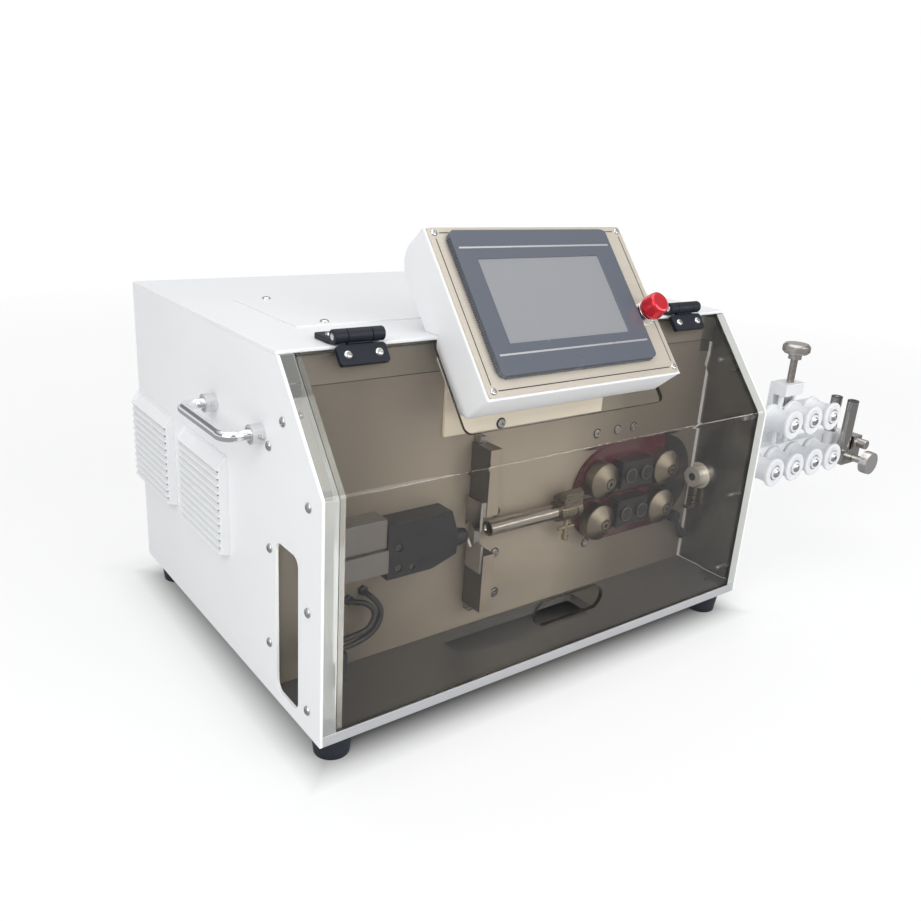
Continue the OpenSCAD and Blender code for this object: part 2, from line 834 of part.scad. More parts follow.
// split collar with a wedge on top and a pivot shaft through the main plate
module tube_holder() {
    color("gray") difference() {
        union() {
            bar_x(holder_x0, wire_y, wire_z, holder_len, holder_d);
            bar_x(holder_x0 + 3, wire_y, wire_z, holder_len - 10, holder_d + 0.8);
            along_x(holder_x0 + 2, holder_len - 4)
                polygon([[wire_y - 12, wire_z + 6], [wire_y - 12, wire_z + 22], [wire_y - 6, wire_z + 26],
                    [wire_y + 8, wire_z + 16], [wire_y + 8, wire_z + 6]]);
            bar_y(pivot_x, wire_y + 8, wire_z, main_back - wire_y, pivot_d);
        }
        bar_x(holder_x0 - eps, wire_y, wire_z, holder_len + 2 * eps, tube_d - 6);
        box(holder_x0 + holder_len - 9, holder_x0 + holder_len - 8, wire_y - 20, wire_y + 12,
            wire_z - 20, wire_z + 5);
        bar_z(clamp_x, wire_y, wire_z - 20, 16, clamp_d + 2 * run);
    }
}

// clamp screw with a cross bar, under the collar
module tube_clamp_screw() {
    color("goldenrod") {
        bar_z(clamp_x, wire_y, wire_z - 34, 26, clamp_d);
        bar_x(clamp_x - 12, wire_y, wire_z - 23, 24, 4);
        bar_z(clamp_x, wire_y, wire_z - 38, 5, 8);
    }
}

rail_low = 34;
rail_top = 232;

module cutter_rail() {
    color("silver") box(cut_x - rail_w / 2, cut_x + rail_w / 2, rail_y, main_y, rail_low, rail_top);
}

// blade holder that straddles the rail, with an arm to the nut on the lead screw
module blade_holder(low, high, arm_z0) {
    half = rail_w / 2 + gap + 3;
    difference() {
        union() {
            box(cut_x - half, cut_x + half, rail_y - holder_depth, main_y - 1.5, low, high);
            box(arm_x0 - eps, arm_x0 + arm_w, rail_y - 8, main_y - 2, arm_z0 - 9, arm_z0 + 9);
            box(arm_x0, arm_x0 + arm_w, main_y - 3, cut_screw_y, arm_z0 - 9, arm_z0 + 9);
            box(cut_screw_x - 15, cut_screw_x + 15, cut_screw_y - 15, cut_screw_y + 15,
                arm_z0 - 9, arm_z0 + 9);
        }
        box(cut_x - rail_w / 2 - gap, cut_x + rail_w / 2 + gap, rail_y - gap, main_y, low - 1, high + 1);
        bar_z(cut_screw_x, cut_screw_y, arm_z0 - 10, 20, lead_d + 2 * run);
    }
}

// the upper holder has a pad that sets its blade beside the lower one
module upper_blade_holder() {
    color("dimgray") {
        blade_holder(wire_z + 24, wire_z + 95, upper_arm_z);
        box(blade_x - blade_t - gap, blade_x + eps, wire_y - 5 - blade_w / 2, wire_y - 5 + blade_w / 4,
            wire_z + 24, wire_z + 40);
    }
}

module lower_blade_holder() {
    color("dimgray") blade_holder(wire_z - 86, wire_z - 20, lower_arm_z);
}

// blade with a notched edge, from its holder to the wire line
module blade(x0, up) {
    translate([x0, wire_y - 5, wire_z]) rotate([90, 0, 90]) linear_extrude(blade_t)
        mirror([0, up > 0 ? 0 : 1])
        polygon([[-blade_w / 2, 9], [-4, 7], [5, 17], [blade_w / 2 - 1, 8], [blade_w / 2 - 1, 40],
            [-blade_w / 2, 40]]);
}

module upper_blade() {
    color("silver") blade(blade_x - 2 * blade_t - gap, 1);
}

module lower_blade() {
    color("silver") blade(blade_x - blade_t, -1);
}

module cutter_screw() {
    color("silver") bar_z(cut_screw_x, cut_screw_y, 25, 230, lead_d);
}

// bearing blocks of the lead screw and the motor above them
module cutter_motor() {
    difference() {
        union() {
            box(cut_screw_x - 18, cut_screw_x + 18, main_back, cut_screw_y + 18, 24, 40);
            box(cut_screw_x - 30, cut_screw_x + 30, main_back, cut_screw_y + 30, 244, 258);
            translate([cut_screw_x, cut_screw_y, 258]) linear_extrude(52) intersection() {
                square(motor_w, center = true);
                rotate(45) square(motor_w * 1.3, center = true);
            }
        }
        bar_z(cut_screw_x, cut_screw_y, 25 - gap, 231, lead_d + 2 * run);
    }
}

outlet_x = cut_x - 120;
outlet_w = 83;
outlet_front = 68;
nozzle_len = 18;

// black outlet block with a nozzle towards the blades
module outlet_block() {
    color("black") difference() {
        union() {
            translate([0, main_y, 0]) rotate([90, 0, 0]) linear_extrude(main_y - outlet_front)
                translate([outlet_x, wire_z])
                polygon([[0, -22], [53, -22], [outlet_w, -12], [outlet_w, 12], [outlet_w - 8, 36], [0, 36]]);
            translate([outlet_x + outlet_w, wire_y, wire_z]) rotate([0, 90, 0])
                cylinder(h = nozzle_len, d1 = 22, d2 = 15);
        }
        bar_x(outlet_x - 7, wire_y, wire_z, outlet_w + nozzle_len + 14, 9);
        bar_y(outlet_x + 29, outlet_front - 1, wire_z - 14, 4, 6);
        for (z = [-12, 10]) bar_y(outlet_x + 13, outlet_front - 1, wire_z + z, 5, 8);
    }
}

outlet_bar_x0 = 40;

// two aluminium bars that lead the cut wire out
module outlet_bars() {
    color("lightgray") {
        box(outlet_bar_x0, outlet_x, outlet_front + 2, main_y, wire_z + 12, wire_z + 42);
        difference() {
            box(outlet_bar_x0, outlet_x, outlet_front - 2, main_y, wire_z - 13, wire_z + 11);
            bar_x(outlet_bar_x0 - 1, wire_y, wire_z, outlet_x - outlet_bar_x0 + 2, 12);
        }
    }
}

// rings of a tube along a route, and the tube itself
cable_d = 6;
cable_sides = 8;
switch_x1 = 42;
route_1 = [[95, 93, 90], [96, 84, 89], [102, 76, 82], [104, 72, 72], [99, 70, 61], [88, 68, 54],
    [72, 66, 51], [56, 64, 51], [switch_x1, 63, 51]];
route_2 = [[78, 93, 84], [81, 84, 84.5], [88.5, 77.5, 84.5], [95, 73, 79], [95.5, 70, 71.5],
    [89.5, 68, 63.5], [81, 66, 61], [70.5, 65, 60.5], [61, 64.5, 60], [51.5, 63.5, 60], [switch_x1, 63, 60]];
function unit(v) = v / norm(v);
function heading(r, i) = unit(r[min(i + 1, len(r) - 1)] - r[max(i - 1, 0)]);
function side_of(h) = unit(cross(h, [0.3, 0.1, 1]));
function ring(r, i) = let (h = i == 0 ? [0, -1, 0] : i == len(r) - 1 ? [-1, 0, 0] : heading(r, i),
    s = side_of(h), t = cross(h, s))
    [for (k = [0:cable_sides - 1]) let (a = 360 * k / cable_sides)
        r[i] + cable_d / 2 * (s * cos(a) + t * sin(a))];

module tube_along(r) {
    n = len(r);
    points = [for (i = [0:n - 1]) each ring(r, i)];
    sides = [for (i = [0:n - 2], k = [0:cable_sides - 1]) let (a = i * cable_sides, b = a + cable_sides,
        k2 = (k + 1) % cable_sides) [a + k, b + k, b + k2, a + k2]];
    caps = [[for (k = [0:cable_sides - 1]) k],
        [for (k = [cable_sides - 1:-1:0]) (n - 1) * cable_sides + k]];
    polyhedron(points, concat(sides, caps), convexity = 6);
}

module sensor_cable() {
    color("black") {
        tube_along(route_1);
        tube_along(route_2);
    }
}

// cover interlock switch on the left end strip
module cover_switch() {
    color("dimgray") box(strip_w + 8, switch_x1, strip_depth - 12, strip_depth + 30, 42, 70);
}

// bush that leads the wire through the right panel
module inlet_bush() {
    color("silver") difference() {
        union() {
            bar_x(inner_x1 - 14, wire_y, wire_z, 14, 26);
            bar_x(inner_x1 - 2, wire_y, wire_z, sheet_t + 10, 18);
            bar_z(inner_x1 - 8, wire_y, wire_z - 38, 28, 6);
        }
        bar_x(inner_x1 - 20, wire_y, wire_z, 60, 10);
    }
}

// clamp lever with a hub on the main plate
module pressure_lever() {
    color("black") {
        bar_y(lever_x, 78, lever_z, main_y - gap - 78, 15);
        bar_y(lever_x, 85, lever_z, main_back - 86, 8);
        translate([lever_x, 84, lever_z]) rotate([0, 142, 0]) {
            cylinder(h = 30, d = 7);
            translate([0, 0, 27]) cylinder(h = 14, d1 = 8, d2 = 12);
        }
    }
}

// axle with its round head in front of a roller
module axle(x, z) {
    bar_y(x, roller_front + 1, z, bar_front - roller_front, axle_d);
    bar_y(x, roller_front - 1, z, 2.6, axle_d + 6);
}

// fixed bar with the lower axles, the guide pins, the screw arm and the rear guide post
module straightener_base() {
    color("lightgray") difference() {
        union() {
            box(cabinet_w, cabinet_w + flange_t, bar_front - flange_t, bar_front + flange_deep,
                flange_low, flange_top);
            box(cabinet_w, bar_end, bar_front, bar_front + bar_t, bar_low, low_bar_top);
            box(mid_x - arm_half, mid_x + arm_half, bar_front + bar_t + 1, bar_front + bar_t + arm_back,
                bar_low, arm_z + arm_h);
            box(mid_x - arm_half, mid_x + arm_half, bar_front + bar_t - 1, bar_front + bar_t + arm_back,
                bar_low, low_bar_top);
            box(mid_x - arm_half, mid_x + arm_half, bar_front - 2.5, bar_front + bar_t + arm_back,
                arm_z, arm_z + arm_h);
            for (i = [0:3]) axle(row_x + i * roller_pitch, low_z);
            for (x = [-pin_off, pin_off]) bar_z(mid_x + x, mid_y, wire_z, arm_z - wire_z + 2, pin_d);
            guide_block(wire_y + 6, bar_front + 1);
            bar_y(cross_x, 46, cross_z, bar_front - 44, 14);
            bar_z(post_x, wire_y + 14, cross_z - 12, post_len, post_d);
        }
        bar_z(mid_x, mid_y, arm_z - 1, arm_h + 2, 10 + 2 * run);
        bar_y(gap_x, wire_y, gap_z, 60, 8 + 2 * run);
    }
}

// block on the cross rod that carries one guide post
module guide_block(y0, y1) {
    box(post_x - 10, cross_x + 10, y0, y1, cross_z - guide_drop, cross_z - 9);
    box(cross_x - 11, cross_x + 10, y0, y1, cross_z - guide_drop, cross_z + 10);
}

module guide_post_carrier() {
    color("silver") difference() {
        union() {
            guide_block(wire_y - 20, wire_y - 4);
            bar_z(post_x, wire_y - 12, cross_z - 12, post_len, post_d);
        }
        bar_y(cross_x, wire_y - 21, cross_z, 20, 14 + 2 * run);
        bar_y(gap_x, wire_y - 21, gap_z, 20, 8 + 2 * run);
    }
}

module gap_screw() {
    color("gray") {
        bar_y(gap_x, wire_y - 40, gap_z, 58, 8);
        bar_y(gap_x, wire_y - 50, gap_z, 12, gap_knob_d);
        bar_y(gap_x, wire_y - 39, gap_z, 18.7, 11);
    }
}

// sliding bar with the upper axles
module upper_roller_bar() {
    color("lightgray") difference() {
        union() {
            box(row_x - 5, row_x + 3 * roller_pitch + 5, bar_front, bar_front + bar_t,
                high_z - top_bar_h / 2, high_z + top_bar_h / 2);
            for (i = [0:2]) axle(row_x + (i + 0.5) * roller_pitch, high_z);
        }
        for (x = [-pin_off, pin_off]) bar_z(mid_x + x, mid_y, high_z - 20, 40, pin_d + 2 * run);
        bar_z(mid_x, mid_y, high_z, 20, 10 + 2 * run);
    }
}

knob_z = arm_z + arm_h + roller_lift + 2;

module height_screw() {
    color("gray") {
        bar_z(mid_x, mid_y, high_z + gap, knob_z - high_z + 4, 10);
        bar_z(mid_x, mid_y, knob_z, 9, 18);
        translate([mid_x, mid_y, knob_z + 8]) rotate_extrude()
            polygon([[0, 0], [height_knob_d / 2 - 3, 0], [height_knob_d / 2, 3], [height_knob_d / 2, 11],
                [height_knob_d / 2 - 3, 14], [0, 14]]);
    }
}

// spool roller with a bearing recess in front
module roller(x, z) {
    color("whitesmoke") translate([x, roller_front, z]) rotate([-90, 0, 0]) rotate_extrude()
        polygon(concat(
            [[axle_d / 2 + run, 3], [axle_d / 2 + 5, 3], [axle_d / 2 + 5, 0], [roller_d / 2 - 1, 0],
                [roller_d / 2, 1], [roller_d / 2, 4]],
            [for (i = [0:6]) let (t = -90 + 30 * i)
                [roller_d / 2 - (roller_d - waist_d) / 2 * cos(t),
                    roller_len / 2 + (roller_len / 2 - 4) * sin(t)]],
            [[roller_d / 2, roller_len - 4], [roller_d / 2, roller_len - 1], [roller_d / 2 - 1, roller_len],
                [axle_d / 2 + run, roller_len]]));
}

module upper_roller_1() {
    roller(row_x + 0.5 * roller_pitch, high_z);
}

module upper_roller_2() {
    roller(row_x + 1.5 * roller_pitch, high_z);
}

module upper_roller_3() {
    roller(row_x + 2.5 * roller_pitch, high_z);
}

module lower_roller_1() {
    roller(row_x, low_z);
}

module lower_roller_2() {
    roller(row_x + roller_pitch, low_z);
}

module lower_roller_3() {
    roller(row_x + 2 * roller_pitch, low_z);
}

module lower_roller_4() {
    roller(row_x + 3 * roller_pitch, low_z);
}

placed() {
    base_plate();
    feet();
    left_side_panel();
    right_side_panel();
    top_panel();
    top_hatch();
    rear_panel();
    power_inlet();
    power_switch();
    louvre_vents();
    carry_handles();
    end_strips();
    safety_cover();
    cover_hinge_leaves();
    hinge_base_leaves();
    console_housing();
    console_face_plate();
    touch_panel_bezel();
    touch_screen();
    stop_button_collar();
    stop_button();
    console_bracket();
    main_plate();
    lower_feed_plate();
    lower_feed_block();
    upper_feed_plate();
    upper_feed_block();
    feed_wheel_ul();
    feed_wheel_ur();
    feed_wheel_ll();
    feed_wheel_lr();
    drive_motors();
    upper_feed_drive();
    guide_tube();
    tube_holder();
    tube_clamp_screw();
    cutter_rail();
    upper_blade_holder();
    lower_blade_holder();
    upper_blade();
    lower_blade();
    cutter_screw();
    cover_switch();
    outlet_block();
    outlet_bars();
    sensor_cable();
    inlet_bush();
    pressure_lever();
    straightener_base();
    upper_roller_bar();
    height_screw();
    upper_roller_1();
    upper_roller_2();
    upper_roller_3();
    lower_roller_1();
    lower_roller_2();
    lower_roller_3();
    lower_roller_4();
    guide_post_carrier();
    gap_screw();
}
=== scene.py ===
import json
import math

import bmesh
import bpy
from mathutils import Matrix, Vector


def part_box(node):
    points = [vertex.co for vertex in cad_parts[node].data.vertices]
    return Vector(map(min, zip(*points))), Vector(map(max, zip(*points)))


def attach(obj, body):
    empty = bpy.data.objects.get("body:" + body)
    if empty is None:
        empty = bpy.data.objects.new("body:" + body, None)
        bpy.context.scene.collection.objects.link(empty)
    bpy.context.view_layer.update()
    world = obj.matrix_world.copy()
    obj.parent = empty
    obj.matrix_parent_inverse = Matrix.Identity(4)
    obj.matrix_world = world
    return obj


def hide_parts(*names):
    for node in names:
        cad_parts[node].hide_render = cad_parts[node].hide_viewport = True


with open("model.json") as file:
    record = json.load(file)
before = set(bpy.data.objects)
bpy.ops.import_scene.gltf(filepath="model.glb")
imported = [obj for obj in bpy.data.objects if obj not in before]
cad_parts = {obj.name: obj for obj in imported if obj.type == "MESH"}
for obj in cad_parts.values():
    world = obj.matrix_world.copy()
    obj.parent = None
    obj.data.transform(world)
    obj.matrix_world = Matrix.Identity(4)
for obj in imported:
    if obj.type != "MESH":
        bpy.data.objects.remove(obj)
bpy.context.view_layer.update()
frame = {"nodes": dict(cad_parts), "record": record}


# Studio: a pale floor, soft lamps and the camera at the photograph's place.
# The floor keeps the machine's shadow, carries a painted shadow under the machine's footprint, and fades to
# white away from it.
origin = (450, 226, -28)


def at(x, y, z):
    """A point of the cabinet's own frame in millimetres, as a place in the scene."""
    return Vector(((x - origin[0]) / 1000, (y - origin[1]) / 1000, (z - origin[2]) / 1000))


def look(azimuth, elevation, roll):
    """Right, up and back directions of a camera."""
    a, e, r = math.radians(azimuth), math.radians(elevation), math.radians(roll)
    ahead = Vector((-math.sin(a) * math.cos(e), math.cos(a) * math.cos(e), -math.sin(e)))
    level = Vector((math.cos(a), math.sin(a), 0))
    above = level.cross(ahead)
    right = level * math.cos(r) + above * math.sin(r)
    return right, above * math.cos(r) - level * math.sin(r), -ahead


scene = bpy.context.scene
scene.view_settings.view_transform = "Standard"
camera = bpy.data.objects.new("camera", bpy.data.cameras.new("camera"))
camera.data.lens = 34.465
camera.data.sensor_width = 36
camera.data.clip_end = 200
eye = at(-310.7, -573.8, 510.4)
axes = look(azimuth=-37.88, elevation=19.77, roll=3.81)
camera.matrix_world = Matrix([[*axis, 0] for axis in axes] + [[0, 0, 0, 1]]).transposed()
camera.matrix_world.translation = eye
scene.collection.objects.link(camera)
scene.camera = camera

machine_middle = (-0.1, 0, 0.15)
for lamp_name, place, target, width, height, power in [
    ("key_lamp", (-2.3, -1.5, 1.9), machine_middle, 2.2, 2.2, 49),
    ("front_lamp", (0.7, -3.0, 1.7), machine_middle, 2.0, 2.0, 40),
    ("top_lamp", (0.0, 0.3, 3.0), machine_middle, 2.8, 2.8, 28),
    ("strip_lamp", (1.5, -1.95, 0.78), (-0.1, -0.2, 0.26), 1.7, 0.12, 7.5),
]:
    lamp = bpy.data.objects.new(lamp_name, bpy.data.lights.new(lamp_name, "AREA"))
    lamp.data.shape = "RECTANGLE"
    lamp.data.size = width
    lamp.data.size_y = height
    lamp.data.energy = power
    lamp.location = place
    lamp.rotation_euler = (Vector(target) - lamp.location).to_track_quat("-Z", "Y").to_euler()
    scene.collection.objects.link(lamp)


def node(tree, kind, *sources, **settings):
    """A node of a tree with its settings, its inputs linked or set in order."""
    made = tree.nodes.new(kind)
    for key, value in settings.items():
        setattr(made, key, value)
    for i, source in enumerate(sources):
        if source is None:
            continue
        if isinstance(source, bpy.types.NodeSocket):
            tree.links.new(source, made.inputs[i])
        else:
            made.inputs[i].default_value = source
    return made


def ramp(tree, source, first, last, between, blue=1.0):
    """A ramp of greys over a value: its end tones, then those between by place, bluer if asked."""
    made = node(tree, "ShaderNodeValToRGB", source)
    made.color_ramp.elements[0].color = (first, first, first, 1)
    made.color_ramp.elements[1].color = (last, last, last, 1)
    for stop, tone in between:
        made.color_ramp.elements.new(stop).color = (tone, tone, tone * blue, 1)
    return made.outputs[0]


world = bpy.data.worlds.new("studio")
scene.world = world
world.use_nodes = True
sky = world.node_tree
sky.nodes.clear()
sky_rays = node(sky, "ShaderNodeLightPath").outputs
sky_place = node(sky, "ShaderNodeTexCoord").outputs["Generated"]
sky_height = node(sky, "ShaderNodeSeparateXYZ", sky_place).outputs["Z"]
bands = ramp(sky, sky_height, 0.95, 0.9, [(0.16, 0.85), (0.36, 0.2), (0.55, 0.26), (0.78, 0.8)], blue=1.03)
lit_sky = node(sky, "ShaderNodeBackground", (0.97, 0.985, 1, 1), 0.5)
white_sky = node(sky, "ShaderNodeBackground", (1, 1, 1, 1), 1.0)
banded_sky = node(sky, "ShaderNodeBackground", bands, 1.0)
shown = node(sky, "ShaderNodeMath", sky_rays["Is Camera Ray"], sky_rays["Is Transmission Ray"],
             operation="MAXIMUM")
mirrored = node(sky, "ShaderNodeMixShader", sky_rays["Is Glossy Ray"], lit_sky.outputs[0],
                banded_sky.outputs[0])
backdrop = node(sky, "ShaderNodeMixShader", shown.outputs[0], mirrored.outputs[0], white_sky.outputs[0])
node(sky, "ShaderNodeOutputWorld", backdrop.outputs[0])

floor_mesh = bpy.data.meshes.new("floor")
reach = 60
floor_mesh.from_pydata(
    [(-reach, -reach, -0.0005), (reach, -reach, -0.0005), (reach, reach, -0.0005), (-reach, reach, -0.0005)],
    [], [(0, 1, 2, 3)])
floor = bpy.data.objects.new("floor", floor_mesh)
scene.collection.objects.link(floor)
floor_mat = bpy.data.materials.new("pale_floor")
floor_mat.use_nodes = True
ground = floor_mat.node_tree
floor_skin = ground.nodes["Principled BSDF"]
floor_skin.inputs["Roughness"].default_value = 0.75
floor_skin.inputs["Specular IOR Level"].default_value = 0.2
floor_rays = node(ground, "ShaderNodeLightPath").outputs
spot = node(ground, "ShaderNodeTexCoord").outputs["Object"]
away = node(ground, "ShaderNodeVectorMath", spot, operation="LENGTH").outputs["Value"]
fade = node(ground, "ShaderNodeMapRange", away, 0.5, 2.4, 0.62, 1.0).outputs["Result"]
cabinet_middle, cabinet_half = (-0.1565, 0, 0), (0.2935, 0.226, 0)
from_middle = node(ground, "ShaderNodeVectorMath", spot, cabinet_middle, operation="SUBTRACT").outputs[0]
sideways = node(ground, "ShaderNodeVectorMath", from_middle, operation="ABSOLUTE").outputs[0]
past_edge = node(ground, "ShaderNodeVectorMath", sideways, cabinet_half, operation="SUBTRACT").outputs[0]
edges = node(ground, "ShaderNodeSeparateXYZ", past_edge).outputs
beyond = node(ground, "ShaderNodeMath", edges["X"], edges["Y"], operation="MAXIMUM").outputs[0]
in_open = node(ground, "ShaderNodeMapRange", beyond, -0.03, 0.06, 0.0, 1.0).outputs["Result"]
# Painted shadow: the floor's colour falls from 0.865 to 0.15 under the machine's footprint.
painted_shadow_tone = node(ground, "ShaderNodeMapRange", beyond, -0.04, 0.02, 0.15, 0.865).outputs["Result"]
ground.links.new(painted_shadow_tone, floor_skin.inputs["Base Color"])
seen = node(ground, "ShaderNodeMath", floor_rays["Is Camera Ray"], floor_rays["Is Transmission Ray"],
            operation="MAXIMUM").outputs[0]
bright = node(ground, "ShaderNodeMath", fade, in_open, operation="MULTIPLY").outputs[0]
share = node(ground, "ShaderNodeMath", seen, bright, operation="MULTIPLY").outputs[0]
glow = node(ground, "ShaderNodeEmission", (1, 1, 1, 1), 1.0)
grey = node(ground, "ShaderNodeEmission", (0.36, 0.36, 0.37, 1), 1.0)
lit_floor = node(ground, "ShaderNodeMixShader", share, floor_skin.outputs[0], glow.outputs[0])
reflected = node(ground, "ShaderNodeMath", floor_rays["Is Glossy Ray"], floor_rays["Is Transmission Ray"],
                 operation="GREATER_THAN").outputs[0]
whole_floor = node(ground, "ShaderNodeMixShader", reflected, lit_floor.outputs[0], grey.outputs[0])
ground.links.new(whole_floor.outputs[0], ground.nodes["Material Output"].inputs["Surface"])
floor_mesh.materials.append(floor_mat)


# Base: a milled aluminium plate that everything stands on, with four tapered rubber feet
# screwed to it from below. The plate's front edge shows as a light band under the cover.
def effect(name, inputs, outputs):
    """A new shader node group with its named sockets, and its input and output nodes."""
    group = bpy.data.node_groups.new(name, "ShaderNodeTree")
    for socket, kind, value in inputs:
        made = group.interface.new_socket(name=socket, in_out="INPUT", socket_type=kind)
        made.default_value = value
    for socket, kind in outputs:
        group.interface.new_socket(name=socket, in_out="OUTPUT", socket_type=kind)
    return group, group.nodes.new("NodeGroupInput"), group.nodes.new("NodeGroupOutput")


def shaded(tree, colour, variation, amount):
    """A colour made lighter and darker by a value around one half."""
    centred = node(tree, "ShaderNodeMath", variation, 0.5, operation="SUBTRACT")
    scaled = node(tree, "ShaderNodeMath", centred.outputs[0], amount, 1.0, operation="MULTIPLY_ADD")
    return node(tree, "ShaderNodeVectorMath", colour, None, None, scaled.outputs[0],
                operation="SCALE").outputs[0]


# fine grain: powder coat, moulded plastic, rubber and cast surfaces
grain, g_in, g_out = effect("fine_grain", [
    ("Colour", "NodeSocketColor", (0.8, 0.8, 0.8, 1)), ("Tone", "NodeSocketFloat", 0.05),
    ("Rough", "NodeSocketFloat", 0.4), ("Spread", "NodeSocketFloat", 0.1),
    ("Scale", "NodeSocketFloat", 900.0),
], [("Colour", "NodeSocketColor"), ("Rough", "NodeSocketFloat"), ("Height", "NodeSocketFloat")])
g_place = node(grain, "ShaderNodeTexCoord").outputs["Object"]
g_fine = node(grain, "ShaderNodeTexNoise", g_place, noise_dimensions="3D")
grain.links.new(g_in.outputs["Scale"], g_fine.inputs["Scale"])
g_fine.inputs["Detail"].default_value = 3.0
g_broad = node(grain, "ShaderNodeTexNoise", g_place, noise_dimensions="3D")
g_broad.inputs["Scale"].default_value = 9.0
g_broad.inputs["Detail"].default_value = 5.0
g_both = node(grain, "ShaderNodeMix", data_type="FLOAT")
g_both.inputs[0].default_value = 0.65
grain.links.new(g_fine.outputs["Fac"], g_both.inputs[2])
grain.links.new(g_broad.outputs["Fac"], g_both.inputs[3])
grain.links.new(shaded(grain, g_in.outputs["Colour"], g_both.outputs[0], g_in.outputs["Tone"]),
                g_out.inputs["Colour"])
g_offset = node(grain, "ShaderNodeMath", g_broad.outputs["Fac"], 0.5, operation="SUBTRACT")
g_rough = node(grain, "ShaderNodeMath", g_offset.outputs[0], g_in.outputs["Spread"], g_in.outputs["Rough"],
               operation="MULTIPLY_ADD")
grain.links.new(g_rough.outputs[0], g_out.inputs["Rough"])
grain.links.new(g_fine.outputs["Fac"], g_out.inputs["Height"])

# brushed lines: a noise drawn out along one direction
brushed, b_in, b_out = effect("brushed_lines", [
    ("Colour", "NodeSocketColor", (0.7, 0.7, 0.7, 1)), ("Tone", "NodeSocketFloat", 0.2),
    ("Rough", "NodeSocketFloat", 0.3), ("Spread", "NodeSocketFloat", 0.15),
    ("Stretch", "NodeSocketVector", (6.0, 900.0, 900.0)),
], [("Colour", "NodeSocketColor"), ("Rough", "NodeSocketFloat"), ("Height", "NodeSocketFloat")])
b_place = node(brushed, "ShaderNodeTexCoord").outputs["Object"]
b_drawn = node(brushed, "ShaderNodeVectorMath", b_place, b_in.outputs["Stretch"], operation="MULTIPLY")
b_lines = node(brushed, "ShaderNodeTexNoise", b_drawn.outputs[0], noise_dimensions="3D")
b_lines.inputs["Scale"].default_value = 1.0
b_lines.inputs["Detail"].default_value = 4.0
b_cloud = node(brushed, "ShaderNodeTexNoise", b_place, noise_dimensions="3D")
b_cloud.inputs["Scale"].default_value = 14.0
b_cloud.inputs["Detail"].default_value = 4.0
brushed.links.new(shaded(brushed, b_in.outputs["Colour"], b_lines.outputs["Fac"], b_in.outputs["Tone"]),
                  b_out.inputs["Colour"])
b_mixed = node(brushed, "ShaderNodeMath", b_lines.outputs["Fac"], b_cloud.outputs["Fac"], operation="ADD")
b_offset = node(brushed, "ShaderNodeMath", b_mixed.outputs[0], 1.0, operation="SUBTRACT")
b_rough = node(brushed, "ShaderNodeMath", b_offset.outputs[0], b_in.outputs["Spread"], b_in.outputs["Rough"],
               operation="MULTIPLY_ADD")
brushed.links.new(b_rough.outputs[0], b_out.inputs["Rough"])
brushed.links.new(b_lines.outputs["Fac"], b_out.inputs["Height"])

# turned rings: tool marks round an axis along Y through a centre
turned_rings, t_in, t_out = effect("turned_rings", [
    ("Colour", "NodeSocketColor", (0.7, 0.6, 0.4, 1)), ("Tone", "NodeSocketFloat", 0.25),
    ("Rough", "NodeSocketFloat", 0.28), ("Spread", "NodeSocketFloat", 0.12),
    ("Centre", "NodeSocketVector", (0.0, 0.0, 0.0)), ("Rings", "NodeSocketFloat", 2600.0),
], [("Colour", "NodeSocketColor"), ("Rough", "NodeSocketFloat"), ("Height", "NodeSocketFloat")])
t_place = node(turned_rings, "ShaderNodeTexCoord").outputs["Object"]
t_away = node(turned_rings, "ShaderNodeVectorMath", t_place, t_in.outputs["Centre"], operation="SUBTRACT")
t_flat = node(turned_rings, "ShaderNodeVectorMath", t_away.outputs[0], (1.0, 0.0, 1.0), operation="MULTIPLY")
t_radius = node(turned_rings, "ShaderNodeVectorMath", t_flat.outputs[0], operation="LENGTH")
t_scaled = node(turned_rings, "ShaderNodeMath", t_radius.outputs["Value"], t_in.outputs["Rings"],
                operation="MULTIPLY")
t_lines = node(turned_rings, "ShaderNodeTexNoise", noise_dimensions="1D")
turned_rings.links.new(t_scaled.outputs[0], t_lines.inputs["W"])
t_lines.inputs["Scale"].default_value = 1.0
t_lines.inputs["Detail"].default_value = 3.0
turned_rings.links.new(shaded(turned_rings, t_in.outputs["Colour"], t_lines.outputs["Fac"],
                              t_in.outputs["Tone"]), t_out.inputs["Colour"])
t_offset = node(turned_rings, "ShaderNodeMath", t_lines.outputs["Fac"], 0.5, operation="SUBTRACT")
t_rough = node(turned_rings, "ShaderNodeMath", t_offset.outputs[0], t_in.outputs["Spread"],
               t_in.outputs["Rough"], operation="MULTIPLY_ADD")
turned_rings.links.new(t_rough.outputs[0], t_out.inputs["Rough"])
turned_rings.links.new(t_lines.outputs["Fac"], t_out.inputs["Height"])


def finish(name, group, colour, rough, metal=0.0, bump=0.1, depth=0.0002, fixed=None, **values):
    """A material whose colour, roughness and relief come from one of the groups above."""
    made = bpy.data.materials.new(name)
    made.use_nodes = True
    nt = made.node_tree
    skin = nt.nodes["Principled BSDF"]
    skin.inputs["Metallic"].default_value = metal
    for socket, value in (fixed or {}).items():
        skin.inputs[socket].default_value = value
    look_of = nt.nodes.new("ShaderNodeGroup")
    look_of.node_tree = group
    look_of.inputs["Colour"].default_value = (*colour, 1)
    look_of.inputs["Rough"].default_value = rough
    for socket, value in values.items():
        look_of.inputs[socket].default_value = value
    relief = nt.nodes.new("ShaderNodeBump")
    relief.inputs["Strength"].default_value = bump
    relief.inputs["Distance"].default_value = depth
    nt.links.new(look_of.outputs["Colour"], skin.inputs["Base Color"])
    nt.links.new(look_of.outputs["Rough"], skin.inputs["Roughness"])
    nt.links.new(look_of.outputs["Height"], relief.inputs["Height"])
    nt.links.new(relief.outputs["Normal"], skin.inputs["Normal"])
    made.diffuse_color = (*colour, 1)
    return made


slot_of = {part["node"]: part["material_slot"] for part in frame["record"]["subparts"]}
body_of = {part: body for body, parts in frame["record"]["behaviour"]["bodies"].items() for part in parts}


